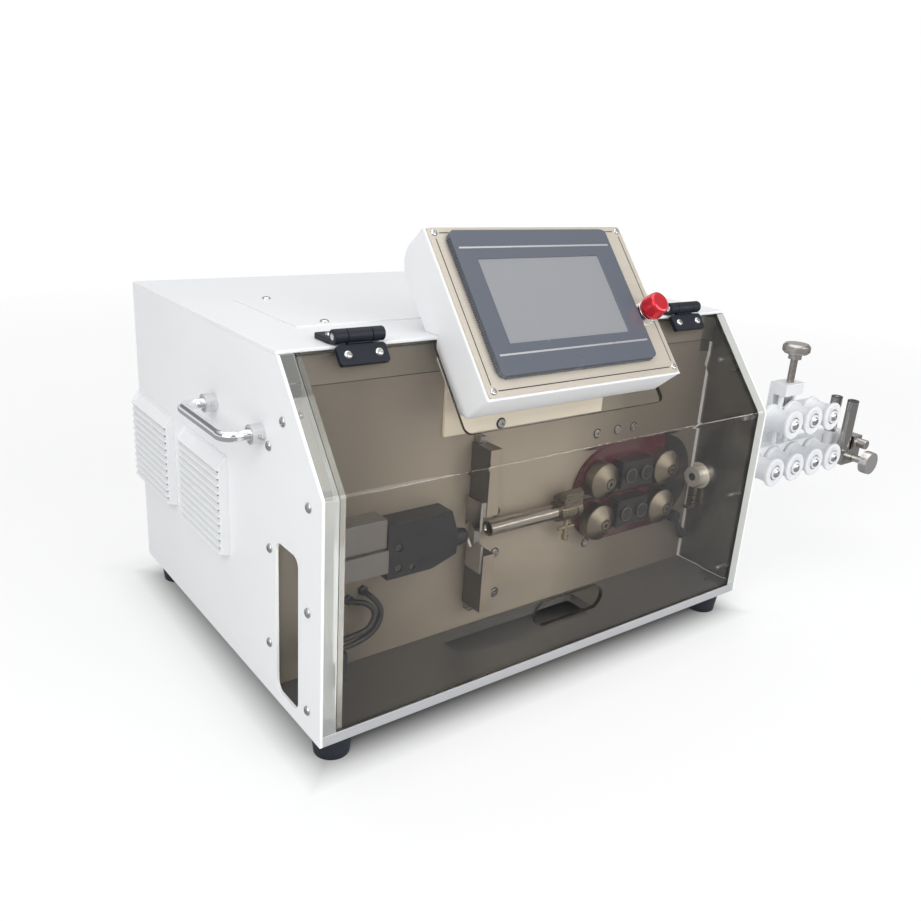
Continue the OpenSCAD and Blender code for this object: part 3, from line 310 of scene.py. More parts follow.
def piece(name, mesh, mats, body, stands_for=(), smooth=35):
    """A finished piece from a mesh in place: shaded, named, riding on its body."""
    made = bpy.data.objects.new(name, mesh)
    scene.collection.objects.link(made)
    for m in mats if isinstance(mats, (list, tuple)) else [mats]:
        mesh.materials.append(m)
    if smooth:
        mesh.polygons.foreach_set("use_smooth", [True] * len(mesh.polygons))
        mesh.set_sharp_from_angle(angle=math.radians(smooth))
        made.modifiers.new("even_normals", "WEIGHTED_NORMAL").keep_sharp = True
    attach(made, body)
    if stands_for:
        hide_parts(*stands_for)
    return made


def mesh_from(bm, name):
    """The plain mesh of a working mesh, which is freed."""
    mesh = bpy.data.meshes.new(name)
    bm.to_mesh(mesh)
    bm.free()
    return mesh


def dressed(part, mats, edge=0.0, smooth=35, finish_of=None):
    """A CAD node's own shape with joined faces, smooth rounds and, where asked, broken edges (mm).
    finish_of(normal, middle) gives the number of each face's finish, middle in cabinet millimetres."""
    bm = bmesh.new()
    bm.from_mesh(frame["nodes"][part].data)
    bmesh.ops.remove_doubles(bm, verts=bm.verts, dist=2e-6)
    bmesh.ops.dissolve_limit(bm, angle_limit=math.radians(0.6), verts=bm.verts, edges=bm.edges)
    if edge:
        sharp = [e for e in bm.edges if len(e.link_faces) == 2 and e.calc_face_angle(0) > math.radians(28)]
        bmesh.ops.bevel(bm, geom=sharp, offset=edge / 1000, offset_type="OFFSET", segments=2, profile=0.6,
                        affect="EDGES", clamp_overlap=False)
    bm.normal_update()
    for face in bm.faces:
        middle = face.calc_center_median() * 1000 + Vector(origin)
        face.material_index = int(finish_of(face.normal, middle)) if finish_of else 0
    bmesh.ops.triangulate(bm, faces=[f for f in bm.faces if len(f.verts) > 4])
    return piece(part + "_made", mesh_from(bm, part + "_made"), mats, body_of[part],
                 [part], smooth)


milled = finish("milled_aluminium", brushed, (0.72, 0.73, 0.745), 0.36, metal=0.65, Tone=0.10, Spread=0.12,
                bump=0.06)
rubber = finish("foot_rubber", grain, (0.013, 0.017, 0.026), 0.62, bump=0.25, Tone=0.5, Spread=0.2,
                Scale=1400.0)
ground_top = finish("ground_base_top", brushed, (0.118, 0.116, 0.113), 0.4, metal=0.5, bump=0.05, Tone=0.12,
                    Spread=0.14, Stretch=(7.0, 400.0, 400.0))


def is_base_top(normal, middle):
    """The plate's upper face and the walls of its openings."""
    return normal.z > 0.9 or (15 < middle.x < 572 and 20 < middle.y < 430)


dressed("base_plate", [milled, ground_top], edge=0.5, finish_of=is_base_top)
dressed("feet", rubber, smooth=40)

# Cabinet shell: laser-cut and folded steel sheet in white powder coat, screwed together.
# The hatch on the roof is a separate plate; the rear panel has cooling slots.
cabinet_w, cabinet_d, sheet_t = 587, 452, 3
powder = finish("white_powder_coat", grain, (0.80, 0.808, 0.818), 0.42, bump=0.12, depth=0.00015, Tone=0.05,
                Spread=0.12, Scale=1500.0, fixed={"Specular IOR Level": 0.45})
for sheet in ("left_side_panel", "right_side_panel", "rear_panel"):
    dressed(sheet, powder, edge=0.5)
bare_steel = finish("bare_flange_steel", brushed, (0.25, 0.228, 0.193), 0.42, metal=0.3, bump=0.06, Tone=0.10,
                    Spread=0.18, Stretch=(8.0, 500.0, 500.0))
flange_back, flange_top = 97, 336.5
dressed("top_panel", [powder, bare_steel], edge=0.5,
        finish_of=lambda n, m: m.y < flange_back and m.z < flange_top)
dressed("top_hatch", powder, edge=0.35)
# Painted shade: the slats' downward faces get a darker grey than the powder coat, standing in for the shade
# under them.
louvre_shade = finish("louvre_painted_shade", grain, (0.50, 0.505, 0.515), 0.5, bump=0.12, depth=0.00015,
                      Tone=0.05, Spread=0.12, Scale=1500.0)
dressed("louvre_vents", [powder, louvre_shade], edge=0.3, finish_of=lambda n, m: n.z < -0.3)

# Carrying handles: bent round bar, chromed, with a ferrule at each leg.
# Both are bolted through the side panels from inside.
chrome = finish("handle_chrome", brushed, (0.88, 0.89, 0.91), 0.12, metal=1.0, bump=0.03, Tone=0.06,
                Spread=0.06, Stretch=(300.0, 40.0, 300.0))
satin = finish("satin_ferrule", brushed, (0.72, 0.72, 0.73), 0.30, metal=0.8, bump=0.05, Tone=0.15,
               Spread=0.12, Stretch=(40.0, 500.0, 500.0))
ferrule = 12.2
dressed("carry_handles", [chrome, satin], smooth=40,
        finish_of=lambda n, m: -ferrule < m.x < 0 or cabinet_w < m.x < cabinet_w + ferrule)


# Panel screws: nickel button heads with a hexagon socket, set along the cabinet's side panels
# and on the roof hatch. One tree sets every kind of screw and rib on the machine.
def turned(profile, segments=36, socket=None, socket_r=0.0, depth=0.0, teeth=None, hollow=False):
    """A closed turned shape about Z in millimetres: rings of (radius, height), then a socket or a flat cap.
    A hollow one is a ring whose profile closes on itself."""

    def socket_reach(t):
        if socket == "hexagon":
            return socket_r / math.cos((t % (math.pi / 3)) - math.pi / 6)
        near = min(t % (math.pi / 2), math.pi / 2 - t % (math.pi / 2))
        return socket_r / max(math.cos(near), math.sin(near) * 3.4)

    bm = bmesh.new()
    angles = [2 * math.pi * i / segments for i in range(segments)]

    def ring(reach_at, h):
        rim = [(reach_at(i, t), t) for i, t in enumerate(angles)]
        return [bm.verts.new((r * math.cos(t) / 1000, r * math.sin(t) / 1000, h / 1000)) for r, t in rim]

    def cut(i, r):
        return teeth[1] if teeth and r >= teeth[0] and i % 2 else 0

    loops = [ring(lambda i, t: r - cut(i, r), h) for r, h in profile]
    if socket:
        top = profile[-1][1]
        loops += [ring(lambda i, t: socket_reach(t), h) for h in (top, top - depth)]
    if hollow:
        loops.append(loops[0])
    around = bm.loops.layers.uv.new("around")
    for row, (low, high) in enumerate(zip(loops, loops[1:])):
        for i in range(segments):
            j = (i + 1) % segments
            face = bm.faces.new((low[i], low[j], high[j], high[i]))
            for corner, (u, v) in zip(face.loops, ((i, row), (i + 1, row), (i + 1, row + 1), (i, row + 1))):
                corner[around].uv = (u / segments, v / len(loops))
    if not hollow:
        bm.faces.new(loops[-1])
        bm.faces.new(loops[0][::-1])
    return bm


placing = bpy.data.node_groups.new("set_on_points", "GeometryNodeTree")
for socket, kind in [("Points", "Geometry"), ("Shape", "Object"), ("Finish", "Material"), ("Size", "Float")]:
    placing.interface.new_socket(name=socket, in_out="INPUT", socket_type="NodeSocket" + kind)
placing.interface.new_socket(name="Geometry", in_out="OUTPUT", socket_type="NodeSocketGeometry")
p_in = placing.nodes.new("NodeGroupInput")
p_end = placing.nodes.new("NodeGroupOutput")
facing = None
for key, axis, pivot in [("out", "Z", "AUTO"), ("along", "X", "Z")]:
    wanted = placing.nodes.new("GeometryNodeInputNamedAttribute")
    wanted.data_type = "FLOAT_VECTOR"
    wanted.inputs["Name"].default_value = key
    aim = placing.nodes.new("FunctionNodeAlignRotationToVector")
    aim.axis = axis
    aim.pivot_axis = pivot
    placing.links.new(wanted.outputs["Attribute"], aim.inputs["Vector"])
    if facing:
        placing.links.new(facing.outputs[0], aim.inputs["Rotation"])
    facing = aim
shape_in = placing.nodes.new("GeometryNodeObjectInfo")
placing.links.new(p_in.outputs["Shape"], shape_in.inputs["Object"])
copies = placing.nodes.new("GeometryNodeInstanceOnPoints")
placing.links.new(p_in.outputs["Points"], copies.inputs["Points"])
placing.links.new(shape_in.outputs["Geometry"], copies.inputs["Instance"])
placing.links.new(facing.outputs[0], copies.inputs["Rotation"])
placing.links.new(p_in.outputs["Size"], copies.inputs["Scale"])
real = placing.nodes.new("GeometryNodeRealizeInstances")
placing.links.new(copies.outputs["Instances"], real.inputs[0])
coated = placing.nodes.new("GeometryNodeSetMaterial")
placing.links.new(real.outputs[0], coated.inputs["Geometry"])
placing.links.new(p_in.outputs["Finish"], coated.inputs["Material"])
placing.links.new(coated.outputs[0], p_end.inputs[0])


def set_on_points(name, shape, spots, mat, body, smooth=35):
    """Copies of a shape at spots of (place, outward direction, sideways direction), as one piece."""
    source = bpy.data.objects.new(name + "_shape", mesh_from(shape, name + "_shape"))
    dots = bpy.data.meshes.new(name + "_points")
    dots.from_pydata([spot[0] for spot in spots], [], [])
    for column, key in enumerate(("out", "along"), 1):
        values = dots.attributes.new(key, "FLOAT_VECTOR", "POINT")
        values.data.foreach_set("vector", [c for spot in spots for c in Vector(spot[column])])
    holder = bpy.data.objects.new(name + "_points", dots)
    for made in (source, holder):
        scene.collection.objects.link(made)
    modifier = holder.modifiers.new("placing", "NODES")
    modifier.node_group = placing
    given = {"Shape": source, "Finish": mat, "Size": 1.0}
    for item in placing.interface.items_tree:
        if item.in_out == "INPUT" and item.name in given:
            modifier[item.identifier] = given[item.name]
    bpy.context.view_layer.update()
    mesh = bpy.data.meshes.new_from_object(holder.evaluated_get(bpy.context.evaluated_depsgraph_get()))
    mesh.name = name
    bpy.data.objects.remove(holder)
    bpy.data.objects.remove(source)
    return piece(name, mesh, [], body, smooth=smooth)


def turned_by(i):
    """A sideways direction for the i-th screw of a row, so that no two sockets lie alike."""
    return (math.cos(1.9 * i), math.sin(2.3 * i), math.sin(1.9 * i + 0.4))


LEFT, RIGHT, FRONT, BACK, UP = (-1, 0, 0), (1, 0, 0), (0, -1, 0), (0, 1, 0), (0, 0, 1)
button_profile = [(4.7, -0.4), (4.7, 0.5), (4.4, 1.3), (3.5, 2.05), (2.5, 2.35)]
nickel = finish("nickel_screw", grain, (0.66, 0.655, 0.64), 0.24, metal=1.0, bump=0.03, Tone=0.12, Spread=0.1)
side_screws = [(69.2, 282.9), (96.9, 253.2), (22.3, 222.9), (23.2, 125.1), (23.3, 26.2), (97.2, 155.3),
               (99.6, 56.2)]
panel_spots = [(at(0, y, z), LEFT, turned_by(i)) for i, (y, z) in enumerate(side_screws)]
left_only = (97.2, 155.3)
panel_spots += [(at(cabinet_w, *spot), RIGHT, turned_by(i))
                for i, spot in enumerate(side_screws) if spot != left_only]
panel_spots += [(at(x, y, 341.5), UP, turned_by(x + y)) for x in (93, 494) for y in (171, 300)]
panel_spots += [(at(x, cabinet_d, z), BACK, turned_by(x + z)) for x in (14, 573) for z in (24, 172, 322)]
set_on_points("panel_screws", turned(button_profile, 36, "hexagon", 1.6, 1.4), panel_spots, nickel, "cabinet")
inner_sides = ((sheet_t, RIGHT), (cabinet_w - sheet_t, LEFT))
shank_spots = [(at(x, y, z), out, UP) for y, z in side_screws if y < 90 for x, out in inner_sides]
shank_profile = [(2.5 + 0.2 * (i % 2), 0.6 * i) for i in range(18)] + [(2.0, 11.2), (1.2, 11.4)]
set_on_points("strip_screw_shanks", turned(shank_profile, 20), shank_spots, nickel, "cabinet")
ferrule_spots = [(at(x, y - 9, 261), FRONT, UP) for x in (-6, cabinet_w + 6) for y in (111, 217)]
set_on_points("ferrule_set_screws", turned([(2.0, -0.4), (2.0, 0.1), (1.7, 0.25)], 24, "hexagon", 0.9, 0.5),
              ferrule_spots, nickel, "cabinet")
# Painted shadow: small dark ellipsoids at the ends of the louvre grooves stand in for the shade where each
# groove meets the end cap.
vent_painted_shadow = finish("vent_shadow", grain, (0.05, 0.052, 0.056), 0.6, bump=0.05, Tone=0.2, Spread=0.1)
slat_low, slat_pitch, slats = 109.4, 8.08, 12
slot_ends = [(at(x, y, slat_low + slat_pitch * i), FRONT, UP)
             for x in (-8.3, cabinet_w + 8.3) for y in (194.6, 341.6) for i in range(1, slats)]
set_on_points("vent_slot_ends", turned([(0.6, -1.8), (1.5, -0.9), (1.7, 0.0), (1.5, 0.9), (0.6, 1.8)], 14),
              slot_ends, vent_painted_shadow, "cabinet")

# Mains inlet at the rear: a moulded black socket with a rocker switch above it.
# It is snapped into its opening in the rear panel.
plastic = finish("black_plastic", grain, (0.014, 0.017, 0.024), 0.46, bump=0.15, Tone=0.4, Spread=0.15,
                 Scale=1100.0)
dressed("power_inlet", plastic, edge=0.4)
dressed("power_switch", plastic, edge=0.5)

# Main plate: a ground plate across the cabinet that carries the whole wire line.
# Cap screws in counterbores hold the units that sit behind and in front of it. A joint runs across
# its top, and a thin steel liner covers the wall at its right end.
plate_steel = finish("main_plate_steel", brushed, (0.42, 0.376, 0.312), 0.42, metal=0.3, bump=0.06, Tone=0.10,
                     Spread=0.18, Stretch=(8.0, 500.0, 500.0))
steel = finish("ground_steel", brushed, (0.42, 0.41, 0.395), 0.28, metal=1.0, bump=0.08, Tone=0.18,
               Spread=0.15, Stretch=(14.0, 600.0, 600.0))
# A near-black finish: painted shade in counterbores, slots, sockets and bores, and the dark joint across the
# main plate.
shadow_gap = finish("counterbore_shadow", grain, (0.012, 0.012, 0.013), 0.6, bump=0.1, Tone=0.3, Spread=0.1)
plate_tree = plate_steel.node_tree
plate_skin = plate_tree.nodes["Principled BSDF"].inputs["Base Color"]
# Painted highlight and shade: the plate's colour is multiplied by a ramp along X. It is brightest in the
# middle and darker towards both ends, standing in for the reflection band of brushed steel.
plate_place = node(plate_tree, "ShaderNodeTexCoord").outputs["Object"]
plate_x = node(plate_tree, "ShaderNodeSeparateXYZ", plate_place).outputs["X"]
plate_share = node(plate_tree, "ShaderNodeMapRange", plate_x, -0.45, 0.15, 0.0, 1.0).outputs["Result"]
painted_highlight_band = ramp(plate_tree, plate_share, 0.47, 0.50,
            [(0.14, 0.47), (0.28, 0.75), (0.42, 0.97), (0.58, 0.94), (0.75, 0.45)])
highlight_painted_colour = node(plate_tree, "ShaderNodeVectorMath", plate_skin.links[0].from_socket, painted_highlight_band, operation="MULTIPLY")
plate_tree.links.new(highlight_painted_colour.outputs[0], plate_skin)
dressed("main_plate", plate_steel, edge=0.4)
plate_screws = [(259, 93, 140), (262, 93, 91), (266, 93, 41), (402, 93, 207), (435, 93, 207), (462, 93, 207),
                (402, 93, 71), (254.4, 89, 241.5)]
plate_spots = [(at(*place), FRONT, turned_by(i)) for i, place in enumerate(plate_screws)]
# Painted shade: each counterbore is a flat dark ring round its screw head, standing for the shade in the gap.
set_on_points("plate_counterbores", turned([(6.0, -0.2), (6.0, 0.12), (4.7, 0.12)]), plate_spots, shadow_gap,
              "cabinet")
set_on_points("plate_screws",
              turned([(4.6, 0.0), (4.6, 0.9), (4.2, 1.2), (3.2, 1.2)], 36, "hexagon", 2.1, 1.0), plate_spots,
              steel, "cabinet")
blackened = finish("blackened_steel", grain, (0.040, 0.041, 0.046), 0.34, metal=0.35, bump=0.02, Tone=0.2,
                   Spread=0.1)
for hidden in ("drive_motors", "upper_feed_drive"):
    dressed(hidden, blackened, edge=0.6)


def block(bm, place, u, v, n):
    """A box between three pairs of values, added to a working mesh through a place function."""
    corners = [bm.verts.new(place(a, b, c)) for a in u for b in v for c in n]
    for face in ((0, 1, 3, 2), (4, 6, 7, 5), (0, 4, 5, 1), (2, 3, 7, 6), (0, 2, 6, 4), (1, 5, 7, 3)):
        bm.faces.new([corners[i] for i in face])


def prism(bm, near, far):
    """A closed shape between two rims of places, added to a working mesh."""
    rims = [[bm.verts.new(place) for place in rim] for rim in (near, far)]
    for i in range(len(near)):
        j = (i + 1) % len(near)
        bm.faces.new((rims[0][i], rims[0][j], rims[1][j], rims[1][i]))
    for rim in rims:
        bm.faces.new(rim)
    bmesh.ops.recalc_face_normals(bm, faces=bm.faces)


seam = bmesh.new()
block(seam, at, (19, 571), (92.9, 93.2), (302.6, 303.4))
piece("plate_seam", mesh_from(seam, "plate_seam"), shadow_gap, "cabinet", smooth=0)
liner = bmesh.new()
liner_outline = [(1.5, 12), (92.8, 12), (92.8, 334.5), (80.5, 334.5), (1.5, 235)]
prism(liner, *([at(x, y, z) for y, z in liner_outline] for x in (583.6, 584)))
liner_steel = finish("liner_steel", brushed, (0.25, 0.25, 0.25), 0.24, metal=1.0, bump=0.03, Tone=0.12,
                     Spread=0.1, Stretch=(300.0, 8.0, 300.0))
piece("right_wall_liner", mesh_from(liner, "right_wall_liner"), liner_steel, "cabinet",
      smooth=0)

# Cutter: a ground rail with two blade holders that close on the wire line, each with a notched blade.
# A lead screw behind the main plate drives both holders.
blade_steel = finish("blade_steel", brushed, (0.50, 0.50, 0.495), 0.22, metal=1.0, bump=0.05, Tone=0.12,
                     Spread=0.1, Stretch=(600.0, 20.0, 600.0))
for part in ("cutter_rail", "cutter_screw"):
    dressed(part, steel, edge=0.3)
holder_side = finish("holder_side_steel", brushed, (0.085, 0.078, 0.072), 0.34, metal=0.5, bump=0.04,
                     Tone=0.2, Spread=0.14, Stretch=(400.0, 400.0, 10.0))
holder_front = finish("holder_front_steel", brushed, (0.40, 0.355, 0.29), 0.32, metal=0.6, bump=0.04,
                      Tone=0.14, Spread=0.14, Stretch=(400.0, 400.0, 10.0))
for part in ("upper_blade_holder", "lower_blade_holder"):
    dressed(part, [holder_side, holder_front], edge=0.5, finish_of=lambda n, m: n.y < -0.7)
for part in ("upper_blade", "lower_blade"):
    dressed(part, blade_steel, edge=0.15)

# Feed unit: two red plates with bearing blocks and four coned brass-coloured wheels with turned faces.
# The upper half rides up and down; each wheel is held by a socket screw.
maroon = finish("maroon_plate", grain, (0.062, 0.005, 0.012), 0.14, bump=0.01, Tone=0.12, Spread=0.06,
                fixed={"Coat Weight": 0.4})
for part in ("lower_feed_plate", "upper_feed_plate"):
    dressed(part, maroon, edge=0.5)
block_black = finish("block_black", grain, (0.012, 0.012, 0.014), 0.3, metal=0.2, bump=0.02, Tone=0.2,
                     Spread=0.1)
for part in ("lower_feed_block", "upper_feed_block"):
    dressed(part, block_black, edge=0.5)
# Painted shade: a thin black shape is laid over the right end of each red plate, standing for the shade at
# the plate's edge.
end_x, end_r, end_steps = 511, 54.6, 24
end_angles = [math.radians(84.5) * i / end_steps for i in range(end_steps + 1)]
for owner, rise, start in (("upper_feed_plate", 1, 137), ("lower_feed_plate", -1, 129)):
    painted_end_shade = bmesh.new()
    arc = [(end_x + end_r * math.cos(t), start + rise * end_r * math.sin(t)) for t in end_angles]
    prism(painted_end_shade, *([at(x, y, z) for x, z in [(516, start)] + arc] for y in (87.2, 87.5)))
    piece(owner + "_end", mesh_from(painted_end_shade, owner + "_end"), block_black, body_of[owner],
          smooth=0)
rim_steel = finish("rim_steel", grain, (0.16, 0.16, 0.155), 0.3, metal=1.0, bump=0.02, Tone=0.2, Spread=0.1)
bearing_rim = [(8.9, -0.4), (8.9, 0.25), (8.5, 0.55), (7.9, 0.55), (7.6, 0.25), (7.6, -0.4)]
for half, z in (("lower", 109), ("upper", 157.5)):
    set_on_points(half + "_bearing_rims", turned(bearing_rim, 40, hollow=True),
                  [(at(x, 69, z), FRONT, RIGHT) for x in (442.5, 468.5)], rim_steel,
                  body_of[half + "_feed_block"])
wire_y, wire_z = 80, 130
set_on_points("feed_back_disc", turned([(60, 0), (60, 0.3), (59.8, 0.4)], 96),
              [(at(517, 93, wire_z), FRONT, RIGHT)], blackened, "cabinet")
wheel_places = {"ul": (403, 155.5), "ur": (508, 155.5), "ll": (403, 104.5), "lr": (508, 104.5)}
wheel_profile = [(6.0, -136), (6.0, -87), (20.6, -87), (21.6, -86.2), (22.0, -85), (22.0, -74), (21.6, -72.6),
                 (21.0, -72), (8.4, -64.4), (8.0, -64.1), (6.8, -64.1), (6.8, -65.6), (5.2, -65.6),
                 (5.2, -63.9), (4.9, -63.5)]
for key, (x, z) in wheel_places.items():
    cone = finish("turned_wheel_" + key, turned_rings, (0.24, 0.212, 0.168), 0.3, metal=1.0, bump=0.02,
                  depth=0.00002, Tone=0.16, Spread=0.1, Centre=at(x, wire_y, z), Rings=1500.0,
                  fixed={"Anisotropic": 0.85})
    turning = node(cone.node_tree, "ShaderNodeTangent", direction_type="UV_MAP", uv_map="around")
    cone.node_tree.links.new(turning.outputs[0], cone.node_tree.nodes["Principled BSDF"].inputs["Tangent"])
    shape = turned(wheel_profile, 96, "hexagon", 2.5, 2.0)
    # Painted shade: the hex socket and the hub groove get the near-black gap finish, standing for the shade
    # inside them.
    for face in shape.faces:
        middle = face.calc_center_median() * 1000
        away = math.hypot(middle.x, middle.y)
        in_socket, in_groove = away < 2.45, 5.15 < away < 6.85 and middle.z < -64.15
        face.material_index = int(in_socket or in_groove)
    place = Matrix.Translation(at(x, 0, z)) @ Matrix.Rotation(math.pi / 2, 4, "X")
    bmesh.ops.transform(shape, matrix=place, verts=shape.verts)
    piece("wheel_" + key, mesh_from(shape, "wheel_" + key), [cone, shadow_gap], "wheel_" + key,
          ["feed_wheel_" + key], 30)

# Guide tube: a polished tube in a split collar that swings clear of the blades.
# A brass screw with a cross bar clamps it.
polished = finish("polished_tube", brushed, (0.43, 0.40, 0.36), 0.16, metal=1.0, bump=0.03, Tone=0.08,
                  Spread=0.08, Stretch=(20.0, 200.0, 200.0))
brass = finish("turned_brass", brushed, (0.44, 0.37, 0.245), 0.26, metal=1.0, bump=0.05, Tone=0.15)
dressed("guide_tube", polished, edge=0.2)
bronze = finish("holder_bronze", brushed, (0.20, 0.172, 0.13), 0.28, metal=1.0, bump=0.04, Tone=0.14,
                Spread=0.12)
dressed("tube_holder", bronze, edge=0.4)
dressed("tube_clamp_screw", brass, edge=0.3)

# Outlet: a moulded black block with a nozzle, and two milled bars that lead the cut wire out.
# Two cap screws hold the block.
outlet_plastic = finish("outlet_plastic", grain, (0.011, 0.013, 0.018), 0.38, bump=0.1, Tone=0.3, Spread=0.12,
                        Scale=1100.0)
dressed("outlet_block", outlet_plastic, edge=0.6)
cap_profile = [(3.3, 0.0), (3.3, 2.6), (3.0, 3.0), (2.4, 3.0)]
set_on_points("outlet_block_screws", turned(cap_profile, 30, "hexagon", 1.5, 1.6),
              [(at(120, 72, z), FRONT, turned_by(z)) for z in (118, 140)], rim_steel, "cabinet")
set_on_points("outlet_block_set_screw",
              turned([(2.6, 0.0), (2.6, 1.6), (2.3, 1.9), (1.6, 1.9)], 30, "hexagon", 1.1, 1.2),
              [(at(136, 71, 116), FRONT, turned_by(3))], rim_steel, "cabinet")
# Painted shade: two thin dark slot shapes are laid on the block's face, standing for the shade inside its
# slots.
block_slots = bmesh.new()
slot_half, slot_r, slot_steps = 7, 2.4, 10
for x, z in ((152, 121), (146, 150)):
    ends = [(x + slot_half * side + slot_r * math.cos(t), z + slot_r * math.sin(t))
            for side, start in ((1, -math.pi / 2), (-1, math.pi / 2))
            for t in [start + math.pi * i / slot_steps for i in range(slot_steps + 1)]]
    prism(block_slots, *([at(px, y, pz) for px, pz in ends] for y in (67.8, 68.2)))
piece("outlet_block_slots", mesh_from(block_slots, "outlet_block_slots"), shadow_gap, "cabinet",
      smooth=0)
bar_metal = finish("outlet_bar_aluminium", brushed, (0.215, 0.21, 0.203), 0.36, metal=0.6, bump=0.06,
                   Tone=0.12, Spread=0.12)
dressed("outlet_bars", bar_metal, edge=0.5)

# Cover switch with its two cables: a black interlock switch at the left end strip.
# The cables are round and black, and go through glands in the main plate.
dressed("cover_switch", plastic, edge=0.8)
rubber_sheath = finish("cable_sheath", grain, (0.016, 0.018, 0.022), 0.45, bump=0.08, Tone=0.3, Spread=0.1)


def laid_route(points):
    """A cable's own points with two more between each two on a smooth line, in metres."""
    dots = [at(*p) for p in points]
    dots = [2 * dots[0] - dots[1]] + dots + [2 * dots[-1] - dots[-2]]
    line = []
    for a, b, c, d in zip(dots, dots[1:], dots[2:], dots[3:]):
        for t in (0, 1 / 3, 2 / 3):
            bend, twist = 2 * a - 5 * b + 4 * c - d, 3 * b - a - 3 * c + d
            line.append(0.5 * (2 * b + (c - a) * t + bend * t * t + twist * t ** 3))
    return line + [dots[-2]]


cable_routes = {
    "switch_cable": [
        (95, 93, 90), (96, 84, 89), (102, 76, 82), (104, 72, 72), (99, 70, 61),
        (88, 68, 54), (72, 66, 51), (56, 64, 51), (42, 63, 51),
    ],
    "lock_cable": [
        (78, 93, 84), (81, 84, 84.5), (88.5, 77.5, 84.5), (95, 73, 79), (95.5, 70, 71.5), (89.5, 68, 63.5),
        (81, 66, 61), (70.5, 65, 60.5), (61, 64.5, 60), (51.5, 63.5, 60), (42, 63, 60),
    ],
}
cable_r = 0.003
for cable_name, route in cable_routes.items():
    line = laid_route(route)
    sheath = bpy.data.curves.new(cable_name, "CURVE")
    sheath.dimensions = "3D"
    sheath.bevel_depth = cable_r
    sheath.bevel_resolution = 4
    sheath.use_fill_caps = True
    spline = sheath.splines.new("POLY")
    spline.points.add(len(line) - 1)
    for dot, place in zip(spline.points, line):
        dot.co = (*place, 1)
    sheath.materials.append(rubber_sheath)
    cable = bpy.data.objects.new(cable_name, sheath)
    scene.collection.objects.link(cable)
    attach(cable, "cabinet")
    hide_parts("sensor_cable")
set_on_points("cable_glands", turned([(5.6, -0.2), (5.6, 2.6), (5.0, 3.4), (3.3, 4.2)], 6),
              [(at(*route[0]), FRONT, UP) for route in cable_routes.values()], plastic, "cabinet")

# Inlet bush and clamp lever at the right: a turned steel bush that the wire comes in through, pressed
# into the side panel with a washer and a small brass bracket, and a black lever on a hub.
# A white trim covers the corner between the panel and the main plate.
bush_steel = finish("bush_steel", brushed, (0.94, 0.91, 0.85), 0.14, metal=0.6, bump=0.03, Tone=0.1,
                    Spread=0.1)


def is_bush_bore(normal, middle):
    """The faces inside the bush that look at its axis."""
    from_axis = Vector((0, middle.y - wire_y, middle.z - wire_z))
    return abs(normal.x) < 0.5 and normal.dot(from_axis) < 0 and from_axis.length < 11


# Painted shade: the bore of the bush gets the near-black gap finish, standing for the shade inside it.
dressed("inlet_bush", [bush_steel, shadow_gap], edge=0.4, finish_of=is_bush_bore)
washer_profile = [(17.0, -0.2), (17.0, 1.2), (16.4, 1.6), (14.0, 1.6), (13.4, 1.2), (13.4, -0.2)]
set_on_points("bush_washer", turned(washer_profile, 64, hollow=True), [(at(583.6, wire_y, wire_z), LEFT, UP)],
              bush_steel, "cabinet")
bracket_brass = bmesh.new()
block(bracket_brass, at, (572.6, 579.4), (75.5, 84.5), (90.5, 117.5))
block(bracket_brass, at, (565.5, 579.4), (75.5, 84.5), (88, 90.6))
bmesh.ops.bevel(bracket_brass, geom=bracket_brass.edges[:], offset=0.0006, segments=2, profile=0.6,
                affect="EDGES")
piece("bush_bracket", mesh_from(bracket_brass, "bush_bracket"), brass, "cabinet")
corner_trim = bmesh.new()
block(corner_trim, at, (580.8, 583.5), (90.4, 92.9), (12, 300))
bmesh.ops.bevel(corner_trim, geom=corner_trim.edges[:], offset=0.0005, segments=2, profile=0.6,
                affect="EDGES")
piece("wall_corner_trim", mesh_from(corner_trim, "wall_corner_trim"), powder, "cabinet")
dressed("pressure_lever", plastic, edge=0.4)

# Console: a folded white housing on a bracket, with a brushed steel face.
# A touch panel and the red stop button are fitted through the face.
face_steel = finish("face_plate_steel", brushed, (0.62, 0.565, 0.48), 0.34, metal=0.4, bump=0.05, Tone=0.12,
                    Spread=0.12, Stretch=(9.0, 700.0, 700.0))
bezel_mat = finish("bezel_plastic", grain, (0.098, 0.110, 0.135), 0.26, bump=0.03, Tone=0.12, Spread=0.08,
                   Scale=1300.0)
screen_mat = finish("screen_glass", grain, (0.25, 0.255, 0.27), 0.10, bump=0.0, Tone=0.05, Spread=0.02)
stop_red = finish("stop_red", grain, (0.74, 0.018, 0.034), 0.18, metal=0.55, bump=0.04, Tone=0.1, Spread=0.08,
                  fixed={"Coat Weight": 0.6})
bracket_steel = finish("console_bracket_steel", brushed, (0.80, 0.73, 0.61), 0.4, metal=0.15, bump=0.05,
                       Tone=0.1, Spread=0.14, Stretch=(8.0, 500.0, 500.0))
dressed("console_bracket", bracket_steel, edge=0.5)
dressed("console_housing", powder, edge=2.2)
dressed("console_face_plate", face_steel, edge=0.3)
dressed("touch_panel_bezel", bezel_mat, edge=0.9)
dressed("touch_screen", screen_mat)
dressed("stop_button_collar", chrome, edge=0.4)
dressed("stop_button", stop_red, smooth=40)
lean = math.radians(39.5)
UP_FACE, OFF_FACE = (0, math.sin(lean), math.cos(lean)), (0, -math.cos(lean), math.sin(lean))
DOWN_FACE = (0, -math.sin(lean), -math.cos(lean))


def on_face(u, v, n):
    """A point of the console's face: to the right, up the face and out of it, in millimetres."""
    return at(291.4 + u, 57.1 + v * math.sin(lean) - n * math.cos(lean),
              368.5 + v * math.cos(lean) + n * math.sin(lean))


